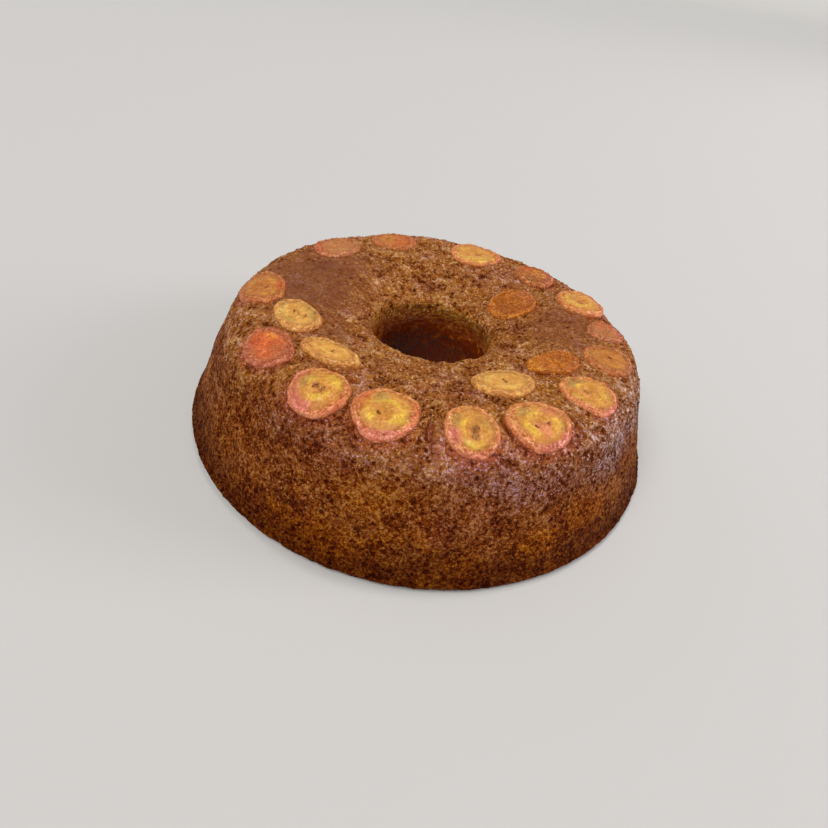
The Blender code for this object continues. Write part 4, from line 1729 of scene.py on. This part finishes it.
@dataclass(frozen=True)
class LooseCrumbs:
    """Crumbs that stand out of the surface, scattered over it by Geometry Nodes."""

    name: str
    per_mm2: float
    smallest: float
    largest: float
    sink: float
    seed: int = 7
    shape_seed: int = 11
    sides: int = 12
    stretch: Pair = (0.65, 1.3)
    tones: Pair = (-0.22, 0.26)
    jitter: Bumps = Bumps(0.0008, 0.00035)
    map_reaches: Pair = (0.42, 0.22)

    def recipe(self) -> Builder:
        """The tree that scatters the crumbs where the mask of their name allows them."""
        inputs = {"Density": float, "Smallest": float, "Largest": float, "Sink": float, "Seed": int}
        tree = Builder(f"scattered {self.name}", inputs)
        given = tree.given
        density = tree.times(given["Density"], tree.stored(self.name))
        inputs = {"Mesh": given["Geometry"], "Density": density, "Seed": given["Seed"]}
        spots = tree.add("GeometryNodeDistributePointsOnFaces", inputs)
        share = tree.math("POWER", tree.chance(0.0, 1.0, self.shape_seed), 2.0)
        size = tree.share(share, given["Smallest"], given["Largest"])
        sunk = tree.vector("SCALE", spots.outputs["Normal"], tree.times(given["Sink"], -1.0))
        points = tree.moved(spots.outputs["Points"], sunk)
        points = tree.store(points, "tone", tree.chance(*self.tones, self.shape_seed + 1))
        balls = tree.balls(points, size, self.stretch, self.shape_seed + 2, detail=1)
        uneven = tree.moved(balls, tree.swirl(tree.place(), self.jitter.size, self.jitter.height))
        tree.put_out(tree.smooth(uneven))
        return tree

    def scatter(self, recipe: Builder, over: bpy.types.Object, material: bpy.types.Material) -> None:
        """Scatters the crumbs over a quarter and adds them as a piece of their own.

        Args:
            recipe: the crumbs' tree.
            over: the quarter.
            material: the crumbs' material.
        """
        name = over.name.replace("crumb", self.name)
        sizes = {"Smallest": self.smallest, "Largest": self.largest, "Sink": self.sink}
        density = self.per_mm2 / MM**2
        mesh = recipe.applied(over, name, Material=material, Seed=self.seed, Density=density, **sizes)
        self.lay_out_map(mesh)
        add_piece(name, mesh, "crumb")

    def lay_out_map(self, mesh: bpy.types.Mesh) -> None:
        """Gives each crumb a cell of its own in the bake map."""
        corner = np.empty(len(mesh.loops), np.int32)
        mesh.loops.foreach_get("vertex_index", corner)
        crumb, spot = np.divmod(corner, self.sides)
        across = max(math.ceil(math.sqrt(crumb.max() + 1)), 1) if len(crumb) else 1
        angle = spot * FULL_TURN / self.sides
        reach = np.where(spot % 2 == 0, *self.map_reaches)
        cell = np.stack([crumb % across + 0.5, crumb // across + 0.5], 1)
        add_bake_map(mesh, (cell + around(reach, angle, 0.0)[:, :2]) / across)


LOOSE_CRUMBS = (
    LooseCrumbs("big_crumbs", 0.26, 0.00026, 0.00070, 0.00016),
    LooseCrumbs("small_crumbs", 0.22, 0.00016, 0.00040, 0.0001),
)


@dataclass(frozen=True)
class JamLining:
    """Dark jam that coats the lower part of the hole, as a thin lumpy shell."""

    form: RingForm
    spokes: int = 240
    rows: int = 62
    rows_a_step_behind: int = 4
    foot: float = 0.0006
    edge: float = 0.0440
    edge_sway: float = 0.0045
    edge_ripple: float = 0.0016
    thickness: float = 0.0011
    lumps: float = 0.0009
    behind: float = 0.0008
    radius: float = 0.028
    colour: Colour = (0.120, 0.0150, 0.0010)
    amber: Colour = (0.300, 0.075, 0.0040)
    shine: float = 0.16
    bump_reach: float = 1.0 * MM

    def material(self) -> bpy.types.Material:
        """Wet dark jam with amber where it lies thin."""
        material, graph, shader = new_material("dark_jam")
        place = graph.object_place()
        cloud = graph.noise(place, 5 * MM, 3.0)
        thin = graph.times(graph.ramp(cloud, 0.50, 0.72), graph.attribute("thin"))
        inputs = {"Distance": self.bump_reach, "Height": graph.noise(place, 1.6 * MM)}
        looks = {"Base Color": graph.mix(thin, self.colour, self.amber)}
        looks |= {"Roughness": graph.spread(cloud, 0.3, 0.7, 0.34, 0.14), "Specular IOR Level": self.shine}
        graph.feed(shader, looks | {"Normal": graph.add("ShaderNodeBump", inputs).outputs[0]})
        return material

    def build(self) -> bpy.types.Object:
        """Builds the shell: up its wet face, over its edge and down behind it."""
        form = self.form
        angle = round_steps(self.spokes)
        share, angles = np.meshgrid(np.linspace(0.0, 1.0, self.rows), angle, indexing="ij")
        circle = around(1.0, angle, 0.0)
        top = self.edge + self.edge_sway * noise_at(circle, 0.55)
        top = top + self.edge_ripple * noise_at(circle, 0.16, 3.1)
        level = self.foot + (top - self.foot) * share
        share, angles = share.ravel(), angles.ravel()
        spots = around(self.radius, angles, level.ravel())
        lump = 0.6 * noise_at(spots, 4.5 * MM) + 0.4 * noise_at(spots, 1.9 * MM, 5.0)
        thick = (self.thickness + self.lumps * lump) * rise(1.0, 0.86, share)
        wall_start = form.lip_top - form.lip_round * RIGHT_ANGLE
        steepness = (form.height - form.lip_round) / (wall_start - form.hole_foot)
        way = form.hole_foot + level / steepness
        front = form.placed(angles, way.ravel(), np.maximum(thick, 0.0))
        behind = np.full(self.spokes, -self.behind)
        back = [form.placed(angle, row, behind) for row in way[::-1][:: self.rows_a_step_behind]]
        rings = self.rows + len(back)
        faces = []
        for ring in range(rings):
            faces += band(ring * self.spokes, (ring + 1) % rings * self.spokes, self.spokes)
        mesh = new_mesh("jam_lining", np.concatenate([front, *back]), faces, self.material())
        unseen = np.zeros(len(back) * self.spokes)
        add_attributes(mesh, {"thin": np.concatenate([rise(0.45, 0.95, share), unseen])})
        return add_piece("jam_lining", mesh, FRUIT_FINISHES[Tone.RED].slot)


@dataclass(frozen=True)
class Seeds:
    """The small dark seeds in the middle of the slices."""

    form: RingForm
    around_mark: int = 3
    widest_mark: float = 0.15
    radius: float = 0.00031
    stretch: Pair = (0.6, 1.6)
    shape_seed: int = 3
    colour: Colour = (0.120, 0.040, 0.011)
    paler: float = 2.2
    roughness: float = 0.6
    shine: float = 0.12

    def material(self) -> bpy.types.Material:
        """Brown seeds, a little uneven in colour."""
        material, graph, shader = new_material("banana_seed")
        cloud = graph.noise(graph.object_place(), 0.6 * MM, 1.0)
        pale = tuple(self.paler * part for part in self.colour)
        looks = {"Base Color": graph.mix(graph.ramp(cloud, 0.35, 0.75), self.colour, pale)}
        graph.feed(shader, looks | {"Roughness": self.roughness, "Specular IOR Level": self.shine})
        return material

    def spots(self) -> np.ndarray:
        """Where the seeds lie: a few in each brown mark of the slices."""
        found = []
        for banana in FRUIT:
            for mark in banana.marks:
                if mark.pulp is not BROWN or mark.wide > self.widest_mark:
                    continue
                share = np.arange(self.around_mark) / (self.around_mark - 1) - 0.5
                round_way = share * mark.long * 1.4
                reach = np.hypot(mark.reach + 0.4 * mark.wide * np.sin(7.0 * share + mark.angle), round_way)
                angle = math.radians(mark.angle) + np.arctan2(round_way, mark.reach)
                height = np.full_like(angle, banana.height - SHAPE.seed_depth)
                found.append(banana.placed(self.form, reach, angle, height))
        return np.concatenate(found)

    def build(self) -> bpy.types.Object:
        """Builds all seeds as one piece."""
        tree = Builder("seeds on spots", {"Radius": float})
        given = tree.given
        seeds = tree.balls(given["Geometry"], given["Radius"], self.stretch, self.shape_seed, detail=2)
        tree.put_out(tree.smooth(seeds))
        spots = new_mesh("seed_spots", self.spots(), [])
        mesh = tree.made_from(spots, "banana_seeds", Radius=self.radius, Material=self.material())
        return add_piece("banana_seeds", mesh, FRUIT_FINISHES[Tone.RED].slot)


class LampKind(Enum):
    """What sort of light a lamp gives."""

    PANEL = "AREA"
    FAR = "SUN"


@dataclass(frozen=True)
class Lamp:
    """A soft light: a square panel, or one so far off that it lights the whole floor alike."""

    name: str
    kind: LampKind
    place: Triple
    breadth: float
    power: float
    colour: Colour

    def add(self, aim: Vector) -> None:
        """Adds the lamp to the scene, turned to a point."""
        light = bpy.data.lights.new(self.name, self.kind.value)
        setattr(light, "size" if self.kind is LampKind.PANEL else "angle", self.breadth)
        light.energy = self.power
        light.color = self.colour
        made = link_object(self.name, light)
        made.location = self.place
        made.rotation_euler = (aim - Vector(self.place)).to_track_quat("-Z", "Y").to_euler()


def turned(first: Vector, second: Vector, angle: float) -> tuple[Vector, Vector]:
    """Turns two square directions in their plane, the first towards the second."""
    cos, sin = math.cos(angle), math.sin(angle)
    return first * cos + second * sin, second * cos - first * sin


@dataclass(frozen=True)
class Studio:
    """The pale floor, the soft light and the camera at the photograph's angle."""

    elevation: float = 0.650
    distance: float = 0.3306
    focal_share: float = 600 / 828
    sensor: float = 36.0
    clip_start: float = 0.01
    roll: float = 0.143
    pan: float = -0.004
    tilt: float = -0.0205
    floor_reach: float = 7.0
    cove_radius: float = 2.0
    cove_steps: int = 16
    floor_sides: int = 128
    floor_colour: Colour = (0.56, 0.55, 0.535)
    cove_colour: Colour = (0.70, 0.69, 0.675)
    floor_roughness: float = 0.9
    floor_shine: float = 0.2
    sky: Colour = (0.95, 0.97, 1.0)
    sky_strength: float = 0.30
    aim: Triple = (0.0, 0.0, 0.03)
    lamps: tuple[Lamp, ...] = (
        Lamp("key", LampKind.FAR, (-0.35, -0.55, 1.15), math.radians(40), 2.25, (1.0, 0.985, 0.96)),
        Lamp("lamp", LampKind.FAR, (0.10, 0.35, 1.00), math.radians(4), 0.40, (1.0, 0.97, 0.93)),
        Lamp("window", LampKind.PANEL, (2.70, 0.20, 1.04), 1.20, 34.0, (1.0, 0.94, 0.99)),
        Lamp("left_back", LampKind.PANEL, (-2.20, 1.46, 1.56), 1.44, 3.0, (0.97, 0.95, 1.0)),
    )

    def build(self) -> None:
        """Builds all of it."""
        self.add_floor()
        self.add_world()
        self.add_camera()
        for lamp in self.lamps:
            lamp.add(Vector(self.aim))
        bpy.context.scene.view_settings.view_transform = "Standard"

    def add_floor(self) -> None:
        """Adds the floor: a wide disc whose far edge sweeps up."""
        material, graph, shader = new_material("pale_floor")
        lift = graph.add("ShaderNodeSeparateXYZ", {0: graph.object_place()}).outputs[2]
        looks = {"Base Color": graph.mix(graph.ramp(lift, 0.0, 0.5), self.floor_colour, self.cove_colour)}
        looks |= {"Roughness": self.floor_roughness, "Specular IOR Level": self.floor_shine}
        graph.feed(shader, looks)
        sides, angle = self.floor_sides, np.linspace(0.0, RIGHT_ANGLE, self.cove_steps + 1)
        radius = np.repeat(self.floor_reach + self.cove_radius * np.sin(angle), sides)
        level = np.repeat(self.cove_radius * (1.0 - np.cos(angle)), sides)
        points = around(radius, np.tile(round_steps(sides), self.cove_steps + 1), level)
        faces = [list(range(sides))]
        for ring in range(self.cove_steps):
            faces += band(ring * sides, (ring + 1) * sides, sides)
        mesh = new_mesh("floor", points, faces, material)
        link_object("floor", mesh)

    def add_world(self) -> None:
        """Adds the even light of the room."""
        world = bpy.data.worlds.new("room")
        world.use_nodes = True
        light = {"Color": rgba(self.sky), "Strength": self.sky_strength}
        Graph(world.node_tree).feed(world.node_tree.nodes["Background"], light)
        bpy.context.scene.world = world

    def add_camera(self) -> None:
        """Adds the camera, fitted to the photograph."""
        back = Vector((0.0, -math.cos(self.elevation), math.sin(self.elevation)))
        forward, right = -back, Vector((1.0, 0.0, 0.0))
        up = right.cross(forward)
        forward, right = turned(forward, right, self.pan)
        forward, up = turned(forward, up, self.tilt)
        right, up = turned(right, up, self.roll)
        lens = bpy.data.cameras.new("camera")
        lens.sensor_width = self.sensor
        lens.lens = self.focal_share * self.sensor
        lens.clip_start = self.clip_start
        camera = link_object("camera", lens)
        facing = Matrix((right, up, -forward)).transposed().to_4x4()
        camera.matrix_world = Matrix.Translation(back * self.distance) @ facing
        bpy.context.scene.camera = camera


def scatter_crumbs(quarters: Sequence[bpy.types.Object], material: bpy.types.Material) -> None:
    """Scatters big and small crumbs over every quarter of the cake."""
    recipes = [(crumbs, crumbs.recipe()) for crumbs in LOOSE_CRUMBS]
    for quarter in quarters:
        for crumbs, recipe in recipes:
            crumbs.scatter(recipe, quarter, material)


def build_fruit(form: RingForm) -> None:
    """Builds every banana slice in place of its solid."""
    group = FruitShading().recipe()
    materials = {tone: FRUIT_FINISHES[tone].material(group, f"banana_{tone.value}") for tone in Tone}
    for banana in FRUIT:
        mesh = banana.mesh(form, materials[banana.tone])
        add_piece(f"{banana.name}_flesh", mesh, FRUIT_FINISHES[banana.tone].slot, [banana.name])


def main() -> None:
    """Builds the cake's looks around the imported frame."""
    logging.basicConfig(level=logging.INFO, format="%(message)s")
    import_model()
    form = RingForm()
    finish = CrumbFinish()
    group = finish.recipe()
    quarters = CrumbRing(form).build(finish.material(group, "cake_crumb", "relief", {"Place": "rest_place"}))
    scatter_crumbs(quarters, finish.material(group, "loose_crumb", "tone", {}))
    build_fruit(form)
    Seeds(form).build()
    JamLining(form).build()
    Studio().build()


if __name__ == "__main__":
    main()
